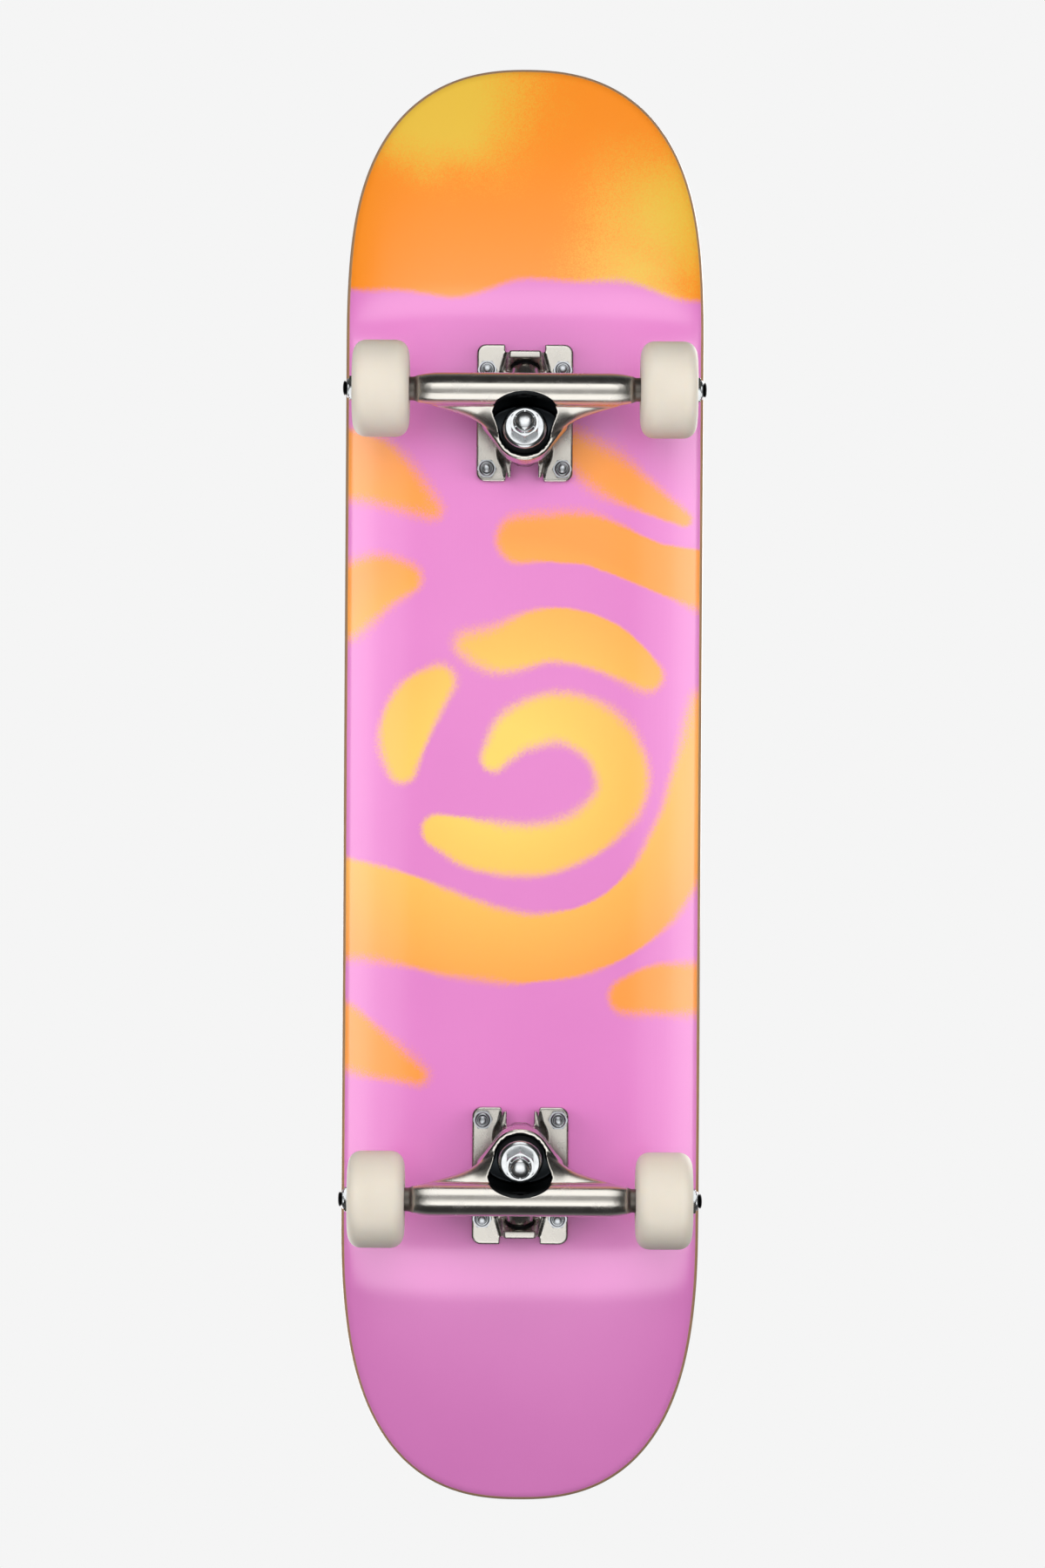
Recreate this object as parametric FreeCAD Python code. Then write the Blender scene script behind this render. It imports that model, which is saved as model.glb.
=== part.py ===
import FreeCAD, Part
from FreeCAD import Rotation, Vector

import os
from math import atan2, cos, degrees, radians, sin, sqrt

# A street skateboard: a pressed maple deck with grip tape, two cast trucks and four urethane wheels on
# ball bearings. Millimetres. +X points to the nose, +Y to the rider's left and +Z up. The origin is on
# the ground, under the middle of the deck's length and width.

INCH = 25.4
UP = Vector(0, 0, 1)
through = 40.0                  # long enough to cut right through a truck or the deck

# Deck
deck_length = 31.5 * INCH
deck_width = 7.75 * INCH
ply_count = 7
ply_thickness = 1.5
flat_half_width = 30.0          # the flat middle strip, before the concave starts
concave_radius = 219.0          # underside of the concave, beside the flat strip
bend_radius = 90.0              # underside of the bend into each kick
kick_angle = 21.0
nose_taper, nose_power_x, nose_power_y = 160.0, 3.2, 2.3
tail_taper, tail_power_x, tail_power_y = 180.0, 3.3, 2.4
outline_points = 25             # per quarter of a rounded end

# Grip tape
grip_thickness = 0.8
grip_adhesive = 0.2
grip_inset = 0.6

# Truck positions on the deck
wheelbase = 14.0 * INCH         # between the two inner rows of truck bolts
trucks_toward_tail = 5.7
bolt_along = 2.125 * INCH
bolt_across = 1.625 * INCH
bend_after_bolts = 16.0         # from the outer truck bolts to the start of a kick's bend
truck_height = 52.0             # axle centre to the deck's underside
paint_film = 0.05

# Baseplate
plate_thickness = 4.6
plate_inner_margin = 6.8
plate_outer_margin = 14.4
plate_side_margin = 5.8
plate_corner = 5.0
plate_edge = 1.0
bridge_height = 11.0
bridge_half_width = 13.8
bridge_end_half_width = 10.5
bridge_end_length = 14.0
bridge_draft = 1.6
inner_notch_half_width = 7.5
inner_notch_depth = 10.2
outer_notch_half_width = 11.0
outer_notch_depth = 4.2
pocket_half = 9.0               # the hollow behind the plate, to save metal
pocket_edge = 3.0
housing_mouth_half_width = 12.2
housing_end_half_width = 9.6
housing_draft = 1.4
pivot_wall = 2.2

# Mounting hardware
bolt_radius = 2.4
bolt_clearance = 0.25
bolt_length = 1.0 * INCH
bolt_head_radius = 4.6
bolt_head_depth = 2.6
bolt_head_below_grip = 0.1
bolt_slot_length, bolt_slot_width, bolt_slot_depth = 4.4, 1.0, 1.6
bolt_tip_chamfer = 0.5
mounting_nut_flats = 9.5
mounting_nut_height = 5.6
mounting_nut_room = 0.4

# Kingpin stack: places along the kingpin from the deck's underside
kingpin_base_x = -17.2
kingpin_tilt = 12.0
kingpin_radius = 4.75
kingpin_head_radius = 6.6
kingpin_head_top = 3.0
kingpin_head_height = 5.5
kingpin_head_clearance = 0.3
kingpin_tip_chamfer = 0.9
kingpin_stickout = 2.2
kingpin_bore_clearance = 0.05
boss_seat = 17.2
boss_radius = 12.9
boss_root_radius = 15.0
boss_wall = 2.0
washer_side_clearance = 1.0
washer_thickness = 1.6
washer_hole_clearance = 0.15
washer_lip = 1.3
washer_bend = 2.2
cup_depth = 1.1
bottom_washer_radius = 12.7
top_washer_radius = 11.9
board_bushing_height = 15.7
board_bushing_radius = 11.2
web_thickness = 4.5
road_bushing_height = 9.4
road_bushing_radius = 12.6
road_bushing_small_radius = 10.4
bushing_bore_clearance = 0.25
bushing_bevel = 1.3
kingpin_nut_flats = 14.3
kingpin_nut_height = 9.8

# Hanger and steering pivot
pivot_depth = 18.0              # below the deck's underside
pivot_end_wall = 1.8
axle_offset = 12.7              # outboard of the bolt pattern's middle
hanger_width = 128.5
barrel_radius = 8.8
barrel_neck_radius = 7.7
barrel_end_radius = 7.2
barrel_end_length = 6.0
barrel_taper_length = 13.0
ring_wall = 2.4
ring_lip = 3.2
ring_skirt = 2.0
yoke_knee, yoke_knee_half_width = 3.2, 23.0
yoke_half_width = 25.5
web_facets = 10
# Each web station: shares of the way out along the barrel and of the way from the ring's rim to the
# barrel's edge, and half the web's thickness as a share of the barrel's neck
web_stations = ((0.0, 0.34, 0.6), (0.27, 0.66, 0.65), (0.47, 0.78, 0.7), (0.72, 0.91, 0.75), (1.0, 1.0, 0.8))
web_hole_clearance = 2.5
pocket_radius = 14.2
pocket_half_width = 18.0
pocket_shoulder = 8.4
pocket_depth = 14.9
nose_radius = 4.7
nose_straight = 1.9
nose_clearance = 0.1
arm_root_radius = 12.5
arm_end_radius = 7.4
arm_stand_off = 1.2
arm_clearance = 1.0
pivot_cup_wall = 1.6
pivot_flange_radius = 7.4
pivot_flange_thickness = 1.5
pivot_seat_clearance = 0.05

# Axle, bearings and wheels
axle_radius = 3.95
axle_clearance = 0.05
bearing_width = 7.0
bearing_radius = 11.0
inner_ring_wall = 2.0
outer_ring_wall = 1.9
ball_radius = 1.984
ball_count = 7
ball_clearance = 0.05
cage_thickness = 1.2
cage_front, cage_back = -1.2, 2.6
shield_thickness = 0.5
shield_inset = 0.15
shield_gap = 0.15
spacer_length = 10.0
spacer_clearance = 0.15
speed_washer_thickness = 1.0
axle_nut_flats = 12.7
axle_nut_height = 5.2
axle_stickout = 2.2
wheel_radius = 26.0
wheel_width = 31.5
shoulder_width = 6.75
side_face_width = 4.5
shoulder_bulge = 1.9
shoulder_fillet = 3.0
bearing_seat_clearance = 0.02
hub_step = 1.6
hub_chamfer = 1.4

# Worked out from the sizes above
deck_thickness = ply_count * ply_thickness
deck_bottom = wheel_radius + truck_height
truck_spread = (wheelbase + bolt_along) / 2
front_truck_x = truck_spread - trucks_toward_tail
rear_truck_x = -truck_spread - trucks_toward_tail
nose_bend_x = front_truck_x + bolt_along / 2 + bend_after_bolts
tail_bend_x = rear_truck_x - bolt_along / 2 - bend_after_bolts
plate_inner_x = -bolt_along / 2 - plate_inner_margin
plate_outer_x = bolt_along / 2 + plate_outer_margin
plate_half_width = bolt_across / 2 + plate_side_margin

kingpin_base = Vector(kingpin_base_x, 0, 0)
kingpin_axis = Vector(sin(radians(kingpin_tilt)), 0, -cos(radians(kingpin_tilt)))
ring_axis = Vector(cos(radians(kingpin_tilt)), 0, sin(radians(kingpin_tilt)))
board_bushing_start = boss_seat + washer_thickness
web_start = board_bushing_start + board_bushing_height
web_end = web_start + web_thickness
road_bushing_end = web_end + road_bushing_height
top_washer_end = road_bushing_end + washer_thickness
kingpin_end = top_washer_end + kingpin_nut_height + kingpin_stickout
ring_centre = kingpin_base + kingpin_axis * ((web_start + web_end) / 2)
ring_radius = pocket_radius + ring_wall
web_hole_radius = kingpin_radius + web_hole_clearance

axle_centre = Vector(axle_offset, 0, -truck_height)
housing_end_x = plate_outer_x - outer_notch_depth
pivot_bore_radius = nose_radius + nose_clearance
pivot_cup_radius = pivot_bore_radius + pivot_cup_wall
pivot_point = Vector(housing_end_x - pivot_end_wall - pivot_cup_radius, 0, -pivot_depth)
steering_axis = (pivot_point - ring_centre).normalize()
steering_length = (pivot_point - ring_centre).Length
pivot_mouth = pivot_point - steering_axis * nose_straight
housing_radius = pivot_flange_radius + pivot_wall

bearing_bore_radius = axle_radius + axle_clearance
inner_ring_radius = bearing_bore_radius + inner_ring_wall
outer_ring_inner_radius = bearing_radius - outer_ring_wall
ball_pitch_radius = (inner_ring_radius + outer_ring_inner_radius) / 2
spacer_radius = inner_ring_radius - 1.0
bearing_seat_radius = bearing_radius + bearing_seat_clearance
hub_bore_radius = bearing_radius - hub_step
side_face_radius = bearing_seat_radius + hub_chamfer + side_face_width
tread_half_width = wheel_width / 2 - shoulder_width
bearing_face = spacer_length / 2 + bearing_width
wheel_y = hanger_width / 2 + speed_washer_thickness + bearing_face
axle_length = 2 * (
    wheel_y + bearing_face + speed_washer_thickness + axle_nut_height + axle_stickout
)


def fused(shapes):
    """One solid from several that touch or overlap."""
    whole = shapes[0].multiFuse(shapes[1:])
    return whole.removeSplitter()


def along(shape, origin, axis):
    """The shape, drawn on +Z from zero, moved to start at origin and point along axis."""
    place = FreeCAD.Placement(origin, Rotation(UP, axis))
    return shape.transformed(place.toMatrix(), True)


def on_kingpin(shape):
    return along(shape, kingpin_base, kingpin_axis)


def rod(radius, start, end):
    return Part.makeCylinder(radius, end - start, Vector(0, 0, start))


def ring(outer, inner, start, end):
    return rod(outer, start, end).cut(rod(inner, start - 1, end + 1))


def prism(flats, height):
    """A hexagonal prism on +Z with its two ends' corners rounded off, as a nut's are."""
    corner = flats / sqrt(3)
    points = [Vector(corner, 0, 0)]
    for k in range(1, 7):
        points.append(Rotation(UP, 60 * k).multVec(points[0]))
    body = Part.Face(Part.makePolygon(points)).extrude(Vector(0, 0, height))
    slope = 0.55 * (corner - flats / 2)
    barrel = fused(
        [
            Part.makeCone(corner - slope * 2, corner + 0.01, slope),
            rod(corner + 0.01, slope, height - slope),
            Part.makeCone(corner + 0.01, corner - slope * 2, slope, Vector(0, 0, height - slope)),
        ]
    )
    return body.common(barrel)


def lock_nut(flats, height, bore):
    """A hexagon with the rounded collar that holds its nylon ring, standing on zero along +Z."""
    collar = 0.24 * height
    collar_radius = 0.42 * flats
    crown = rod(collar_radius, height - collar - 0.5, height)
    crown = crown.makeFillet(0.5, [e for e in crown.Edges if abs(e.BoundBox.ZMin - height) < 1e-6])
    nut = fused([prism(flats, height - collar), crown])
    return nut.cut(rod(bore, -1, height + 1))


def mirrored_y(points):
    return [Vector(p.x, -p.y, p.z) for p in points]


# The deck and its grip tape


def end_curve(tip_x, taper, power_x, power_y, half_width):
    """The rounded plan of one end, from one side over the tip to the other, as a smooth curve."""
    side = 1 if tip_x > 0 else -1
    start_x = tip_x - side * taper
    half = []
    for k in range(outline_points):
        angle = radians(90.0 * k / outline_points)
        x = start_x + side * taper * sin(angle) ** (2 / power_x)
        half.append(Vector(x, half_width * cos(angle) ** (2 / power_y), 0))
    points = half + [Vector(tip_x, 0, 0)] + mirrored_y(half)[::-1]
    curve = Part.BSplineCurve()
    curve.interpolate(
        Points=points,
        InitialTangent=Vector(side, 0, 0),
        FinalTangent=Vector(-side, 0, 0),
    )
    return curve.toShape()


def plan_prism(inset):
    """The deck's plan, drawn in by inset, as a tall prism."""
    half_width = deck_width / 2 - inset
    nose_x = deck_length / 2 - inset
    nose = end_curve(nose_x, nose_taper - inset, nose_power_x, nose_power_y, half_width)
    tail = end_curve(-nose_x, tail_taper - inset, tail_power_x, tail_power_y, half_width)
    left = Part.makeLine(nose.valueAt(nose.FirstParameter), tail.valueAt(tail.FirstParameter))
    right = Part.makeLine(nose.valueAt(nose.LastParameter), tail.valueAt(tail.LastParameter))
    outline = Part.Wire(Part.__sortEdges__([nose, right, tail, left]))
    prism_height = deck_length / 2
    return Part.Face(outline).extrude(Vector(0, 0, prism_height))


def pressed_sheet(low, high):
    """A sheet pressed in the deck's mould, between two heights over the deck's underside."""
    reach = deck_width / 2 + 12
    sweep = (reach - flat_half_width) / concave_radius

    def side_points(height, side):
        centre_z = deck_bottom + concave_radius
        radius = concave_radius - height
        places = []
        for turn in (0, sweep / 2, sweep):
            y = side * (flat_half_width + radius * sin(turn))
            places.append(Vector(0, y, centre_z - radius * cos(turn)))
        return places

    edges = []
    for height in (low, high):
        left, right = side_points(height, 1), side_points(height, -1)
        edges.append(Part.makeLine(left[0], right[0]))
        edges.append(Part.Arc(*left).toShape())
        edges.append(Part.Arc(*right).toShape())
    for side in (1, -1):
        edges.append(Part.makeLine(side_points(low, side)[2], side_points(high, side)[2]))
    section = Part.Face(Part.Wire(Part.__sortEdges__(edges)))

    def at(x):
        face = section.copy()
        face.translate(Vector(x, 0, 0))
        return face

    pieces = [at(tail_bend_x).extrude(Vector(nose_bend_x - tail_bend_x, 0, 0))]
    kick_length = deck_length / 2
    for bend_x, side in ((nose_bend_x, 1), (tail_bend_x, -1)):
        centre = Vector(bend_x, 0, deck_bottom + bend_radius)
        turn_axis = Vector(0, -side, 0)
        pieces.append(at(bend_x).revolve(centre, turn_axis, kick_angle))
        end_face = at(bend_x)
        end_face.rotate(centre, turn_axis, kick_angle)
        run = Vector(side * cos(radians(kick_angle)), 0, sin(radians(kick_angle)))
        pieces.append(end_face.extrude(run * kick_length))
    return pieces[0].multiFuse(pieces[1:])


def bolt_places():
    for truck_x in (front_truck_x, rear_truck_x):
        for x in (-bolt_along / 2, bolt_along / 2):
            for y in (-bolt_across / 2, bolt_across / 2):
                yield Vector(truck_x + x, y, 0)


grip_top = deck_bottom + deck_thickness + grip_adhesive + grip_thickness
bolt_head_top = grip_top - bolt_head_below_grip


def head_cone(gap):
    """The countersunk head's envelope, grown by gap, open upwards."""
    low = bolt_head_top - bolt_head_depth
    rise = bolt_head_depth + 2
    slope = (bolt_head_radius - bolt_radius) / bolt_head_depth
    return Part.makeCone(bolt_radius + gap, bolt_radius + gap + rise * slope, rise, Vector(0, 0, low))


def deck():
    sheet = pressed_sheet(0, deck_thickness)
    board = plan_prism(0).common(sheet)
    for place in bolt_places():
        shank = rod(bolt_radius + bolt_clearance, deck_bottom - through, deck_bottom + through)
        for cutter in (shank, head_cone(bolt_clearance)):
            cutter.translate(place)
            board = board.cut(cutter)
    return board


def grip_tape():
    low = deck_thickness + grip_adhesive
    sheet = plan_prism(grip_inset).common(pressed_sheet(low, low + grip_thickness))
    for place in bolt_places():
        hole_radius = bolt_head_radius + bolt_clearance
        sheet = sheet.cut(Part.makeCylinder(hole_radius, 3, place + Vector(0, 0, grip_top - 2)))
    return sheet


# Truck hardware that holds it to the deck


def mounting_bolt():
    head_start = bolt_head_top - bolt_head_depth
    end = bolt_head_top - bolt_length
    head = Part.makeCone(bolt_radius, bolt_head_radius, bolt_head_depth, Vector(0, 0, head_start))
    shank = rod(bolt_radius, end, head_start)
    tip = [e for e in shank.Edges if abs(e.BoundBox.ZMax - end) < 1e-6]
    shank = shank.makeChamfer(bolt_tip_chamfer, tip)
    bolt = fused([head, shank])
    for turn in (0, 90):
        corner = Vector(-bolt_slot_length / 2, -bolt_slot_width / 2, bolt_head_top - bolt_slot_depth)
        slot = Part.makeBox(bolt_slot_length, bolt_slot_width, bolt_slot_depth, corner)
        slot.rotate(Vector(0, 0, 0), UP, turn)
        bolt = bolt.cut(slot)
    return bolt


def mounting_bolts():
    bolts = []
    for place in bolt_places():
        bolt = mounting_bolt()
        bolt.translate(place)
        bolts.append(bolt)
    return Part.makeCompound(bolts)


def mounting_nuts():
    nuts = []
    for place in bolt_places():
        nut = lock_nut(mounting_nut_flats, mounting_nut_height, bolt_radius + 0.03)
        top = place + Vector(0, 0, deck_bottom - paint_film - plate_thickness)
        nuts.append(along(nut, top, -UP))
    return Part.makeCompound(nuts)


# The truck, drawn with its bolt pattern's centre at zero, +X outboard and the deck's underside at zero


def rounded_plate():
    length = plate_outer_x - plate_inner_x
    plate = Part.makeBox(
        length,
        2 * plate_half_width,
        plate_thickness,
        Vector(plate_inner_x, -plate_half_width, -paint_film - plate_thickness),
    )
    uprights = [e for e in plate.Edges if e.BoundBox.ZLength > plate_thickness - 0.1]
    plate = plate.makeFillet(plate_corner, uprights)
    road_side = -paint_film - plate_thickness
    rim = [e for e in plate.Edges if abs(e.BoundBox.ZMax - road_side) < 1e-6]
    return plate.makeFillet(plate_edge, rim)


def bridge():
    """The raised spine between the plate's two feet, drawn in towards the road side."""
    low, high = -plate_thickness - bridge_height, -paint_film
    sections = []
    for z, draw_in in ((high, 0.0), (low, bridge_draft)):
        inner_x, outer_x = plate_inner_x + draw_in, plate_outer_x - draw_in
        half = [
            Vector(inner_x, bridge_end_half_width - draw_in, z),
            Vector(inner_x + bridge_end_length, bridge_half_width - draw_in, z),
            Vector(outer_x - bridge_end_length, bridge_half_width - draw_in, z),
            Vector(outer_x - outer_notch_depth, outer_notch_half_width - draw_in, z),
        ]
        loop = half + mirrored_y(half)[::-1]
        sections.append(Part.makePolygon(loop + [loop[0]]))
    return Part.makeLoft(sections, True, True)


def pivot_housing():
    """The block that holds the pivot cup, from its mouth back to the plate's outer end."""
    mouth_rim = pivot_mouth.z - housing_radius
    near_x = pivot_mouth.x - housing_radius
    sections = []
    for x, half in ((near_x, housing_mouth_half_width), (housing_end_x, housing_end_half_width)):
        low = half - housing_draft
        corners = [(-half, -paint_film), (half, -paint_film), (low, mouth_rim), (-low, mouth_rim)]
        loop = [Vector(x, y, z) for y, z in corners]
        sections.append(Part.makePolygon(loop + [loop[0]]))
    block = Part.makeLoft(sections, True, True)
    mouth_side = along(Part.makeBox(80, 80, 80, Vector(-40, -40, -80)), pivot_mouth, steering_axis)
    end_slope = Part.makeBox(20, 60, 60, Vector(0, -30, -60))
    end_slope.rotate(Vector(0, 0, 0), Vector(0, 1, 0), degrees(atan2(housing_draft, -mouth_rim)))
    end_slope.translate(Vector(housing_end_x, 0, 0))
    return block.cut(mouth_side).cut(end_slope)


def baseplate():
    boss_start = Vector(0, 0, kingpin_head_top)
    boss = on_kingpin(Part.makeCone(boss_root_radius, boss_radius, boss_seat - kingpin_head_top, boss_start))
    above = Part.makeBox(4 * through, 4 * through, through, Vector(-2 * through, -2 * through, -paint_film))
    body = fused([rounded_plate(), bridge(), boss.cut(above), pivot_housing()])
    head_bottom = kingpin_head_top + kingpin_head_height
    head_pocket = on_kingpin(rod(kingpin_head_radius + kingpin_head_clearance, -through, head_bottom))
    bore = on_kingpin(rod(kingpin_radius + kingpin_bore_clearance, 0, boss_seat + through))
    cup_seat = along(cup_solid(pivot_seat_clearance), pivot_mouth, steering_axis)
    cup_way = along(rod(pivot_flange_radius + pivot_seat_clearance, -12, 0), pivot_mouth, steering_axis)
    washer_room = rod(bottom_washer_radius + washer_side_clearance, boss_seat, boss_seat + through)
    washer_room = on_kingpin(washer_room)
    arm_room = along(steering_arm_cone(arm_clearance), ring_centre, steering_axis)
    inner_notch = Part.makeBox(
        2 * inner_notch_depth,
        2 * inner_notch_half_width,
        2 * through,
        Vector(plate_inner_x - inner_notch_depth, -inner_notch_half_width, -through),
    )
    inner_notch = inner_notch.cut(on_kingpin(rod(kingpin_head_radius + boss_wall, -through, boss_seat)))
    outer_notch = Part.makeBox(
        2 * outer_notch_depth,
        2 * outer_notch_half_width,
        2 * through,
        Vector(housing_end_x, -outer_notch_half_width, -through),
    )
    pocket_start = kingpin_base_x + boss_root_radius + pocket_edge
    pocket_length = pivot_mouth.x - pocket_edge - pocket_start
    pocket_size = (pocket_length, 2 * pocket_half, bridge_height - pocket_edge)
    pocket = Part.makeBox(*pocket_size, Vector(pocket_start, -pocket_half, -pocket_size[2]))
    cutters = [head_pocket, bore, cup_seat, cup_way, washer_room, arm_room, inner_notch, outer_notch, pocket]
    for cutter in cutters:
        body = body.cut(cutter)
    for x in (-bolt_along / 2, bolt_along / 2):
        for y in (-bolt_across / 2, bolt_across / 2):
            hole = Part.makeCylinder(bolt_radius + bolt_clearance, 2 * through, Vector(x, y, -through))
            body = body.cut(hole)
            room_radius = mounting_nut_flats / sqrt(3) + mounting_nut_room
            low = Vector(x, y, -through - plate_thickness - paint_film)
            body = body.cut(Part.makeCylinder(room_radius, through, low))
    return body


def cup_solid(gap):
    """The pivot cup's outside, grown by gap, from its mouth at zero along +Z."""
    body = rod(pivot_cup_radius + gap, 0, nose_straight)
    end = Part.makeSphere(pivot_cup_radius + gap, Vector(0, 0, nose_straight))
    flange = rod(pivot_flange_radius + gap, 0, pivot_flange_thickness + gap)
    return fused([body, end.cut(rod(pivot_cup_radius * 2, -20, 0)), flange])


def pivot_cup():
    hollow = fused(
        [
            rod(pivot_bore_radius, -1, nose_straight),
            Part.makeSphere(pivot_bore_radius, Vector(0, 0, nose_straight)),
        ]
    )
    return along(cup_solid(0).cut(hollow), pivot_mouth, steering_axis)


def kingpin():
    head = prism(2 * kingpin_head_radius * cos(radians(30)), kingpin_head_height)
    head.translate(Vector(0, 0, kingpin_head_top))
    shank = rod(kingpin_radius, kingpin_head_top, kingpin_end)
    tip = [e for e in shank.Edges if abs(e.BoundBox.ZMin - kingpin_end) < 1e-6]
    return on_kingpin(fused([head, shank.makeChamfer(kingpin_tip_chamfer, tip)]))


def quarter_bend(corner_x, low, radius):
    """A quarter round that turns from flat, at height low, to upright at corner_x."""
    share = 1 - sqrt(0.5)
    return Part.Arc(
        Vector(corner_x - radius, 0, low),
        Vector(corner_x - radius * share, 0, low + radius * share),
        Vector(corner_x, 0, low + radius),
    ).toShape()


def cup_washer(radius, cup_side):
    """A dished washer on zero to washer_thickness, its lip turned towards cup_side, +1 or -1."""
    floor = washer_thickness
    top = floor + cup_depth
    lip = radius - washer_lip
    hole = kingpin_radius + washer_hole_clearance
    inner_bend = washer_bend - washer_lip
    edges = [
        Part.makeLine(Vector(hole, 0, 0), Vector(radius - washer_bend, 0, 0)),
        quarter_bend(radius, 0, washer_bend),
        Part.makeLine(Vector(radius, 0, washer_bend), Vector(radius, 0, top)),
        Part.makeLine(Vector(radius, 0, top), Vector(lip, 0, top)),
        Part.makeLine(Vector(lip, 0, top), Vector(lip, 0, floor + inner_bend)),
        quarter_bend(lip, floor, inner_bend),
        Part.makeLine(Vector(lip - inner_bend, 0, floor), Vector(hole, 0, floor)),
        Part.makeLine(Vector(hole, 0, floor), Vector(hole, 0, 0)),
    ]
    dish = Part.Face(Part.Wire(Part.__sortEdges__(edges))).revolve(Vector(0, 0, 0), UP, 360)
    if cup_side < 0:
        dish.rotate(Vector(0, 0, floor / 2), Vector(1, 0, 0), 180)
    return dish


def bottom_washer():
    dish = cup_washer(bottom_washer_radius, 1)
    dish.translate(Vector(0, 0, boss_seat))
    return on_kingpin(dish)


def top_washer():
    dish = cup_washer(top_washer_radius, -1)
    dish.translate(Vector(0, 0, road_bushing_end))
    return on_kingpin(dish)


def bushing(low_radius, high_radius, start, height):
    """A urethane bushing on the kingpin, bevelled at both ends."""
    bore = kingpin_radius + bushing_bore_clearance
    end = start + height
    body = Part.makePolygon(
        [
            Vector(low_radius - bushing_bevel, 0, start),
            Vector(low_radius, 0, start + bushing_bevel),
            Vector(high_radius, 0, end - bushing_bevel),
            Vector(high_radius - bushing_bevel, 0, end),
            Vector(bore, 0, end),
            Vector(bore, 0, start),
            Vector(low_radius - bushing_bevel, 0, start),
        ]
    )
    return on_kingpin(Part.Face(body).revolve(Vector(0, 0, 0), UP, 360))


def board_bushing():
    return bushing(board_bushing_radius, board_bushing_radius, board_bushing_start, board_bushing_height)


def road_bushing():
    return bushing(road_bushing_radius, road_bushing_small_radius, web_end, road_bushing_height)


def kingpin_nut():
    nut = lock_nut(kingpin_nut_flats, kingpin_nut_height, kingpin_radius + 0.03)
    nut.rotate(Vector(0, 0, 0), UP, 30)
    nut.translate(Vector(0, 0, top_washer_end))
    return on_kingpin(nut)


def in_ring(e, y, s):
    """A truck point from e outboard of the kingpin, y across, and s along the kingpin."""
    return kingpin_base + kingpin_axis * s + ring_axis * e + Vector(0, y, 0)


def barrel():
    half = hanger_width / 2
    shoulder = half - barrel_end_length
    taper = shoulder - barrel_taper_length
    bend = Part.Arc(
        Vector(barrel_radius, 0, taper),
        Vector(barrel_radius - 0.35, 0, taper + barrel_taper_length * 0.55),
        Vector(barrel_neck_radius, 0, shoulder),
    )
    edges = [
        Part.makeLine(Vector(0, 0, 0), Vector(barrel_radius, 0, 0)),
        Part.makeLine(Vector(barrel_radius, 0, 0), Vector(barrel_radius, 0, taper)),
        bend.toShape(),
        Part.makeLine(Vector(barrel_neck_radius, 0, shoulder), Vector(barrel_end_radius, 0, shoulder)),
        Part.makeLine(Vector(barrel_end_radius, 0, shoulder), Vector(barrel_end_radius, 0, half)),
        Part.makeLine(Vector(barrel_end_radius, 0, half), Vector(0, 0, half)),
        Part.makeLine(Vector(0, 0, half), Vector(0, 0, 0)),
    ]
    side = Part.Face(Part.Wire(edges)).revolve(Vector(0, 0, 0), UP, 360)
    left = along(side, axle_centre, Vector(0, 1, 0))
    right = along(side, axle_centre, Vector(0, -1, 0))
    return left.fuse(right)


def web_section(y, edge_x, edge_z, half_thickness):
    """A faceted oval across the hanger at y, from an outer edge to just past the barrel's middle."""
    edge = Vector(edge_x, y, edge_z)
    back = Vector(axle_centre.x + 0.7 * barrel_neck_radius, y, axle_centre.z)
    middle = (edge + back) / 2
    long_axis = edge - middle
    short_axis = Vector(long_axis.z, 0, -long_axis.x).normalize() * half_thickness
    corners = []
    for k in range(web_facets):
        turn = radians(360.0 * (k + 0.5) / web_facets)
        corners.append(middle + long_axis * cos(turn) + short_axis * sin(turn))
    return Part.makePolygon(corners + [corners[0]])


def wings():
    """The webs that run from the ring out along the barrel on both sides."""
    rim_x = ring_centre.x - ring_radius * cos(radians(kingpin_tilt))
    end_x = axle_centre.x - barrel_neck_radius
    start_y = 0.72 * ring_radius
    end_y = hanger_width / 2 - barrel_end_length - 0.25 * barrel_neck_radius
    solids = []
    for side in (1, -1):
        sections = []
        for out, share, thickness_share in web_stations:
            y = start_y + (end_y - start_y) * out
            edge_x = rim_x + (end_x - rim_x) * share
            edge_z = ring_centre.z + (axle_centre.z - ring_centre.z) * share ** 2
            half_thickness = barrel_neck_radius * thickness_share
            sections.append(web_section(side * y, edge_x, edge_z, half_thickness))
        for near, far in zip(sections[:-1], sections[1:]):
            solids.append(Part.makeLoft([near, far], True, True))
    return solids


def yoke():
    """The walls that carry the ring across to the barrel."""
    barrel_s = (axle_centre - kingpin_base).dot(kingpin_axis)
    barrel_e = (axle_centre - kingpin_base).dot(ring_axis)
    ring_low, ring_high = web_start - ring_skirt, web_end + ring_lip
    stations = (
        (-0.55 * ring_radius, 0.83 * ring_radius, ring_low, ring_high),
        (yoke_knee, yoke_knee_half_width, ring_low + 1, ring_high),
        (barrel_e - barrel_radius * 0.8, yoke_half_width, barrel_s - barrel_radius, barrel_s - 2.5),
        (barrel_e, yoke_half_width, barrel_s - barrel_radius, barrel_s + 1),
    )
    walls = []
    for near, far in zip(stations[:-1], stations[1:]):
        sections = []
        for e, half, low, high in (near, far):
            corners = [in_ring(e, y, s) for y, s in ((half, low), (half, high), (-half, high), (-half, low))]
            sections.append(Part.makePolygon(corners + [corners[0]]))
        walls.append(Part.makeLoft(sections, True, True))
    return walls


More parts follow.
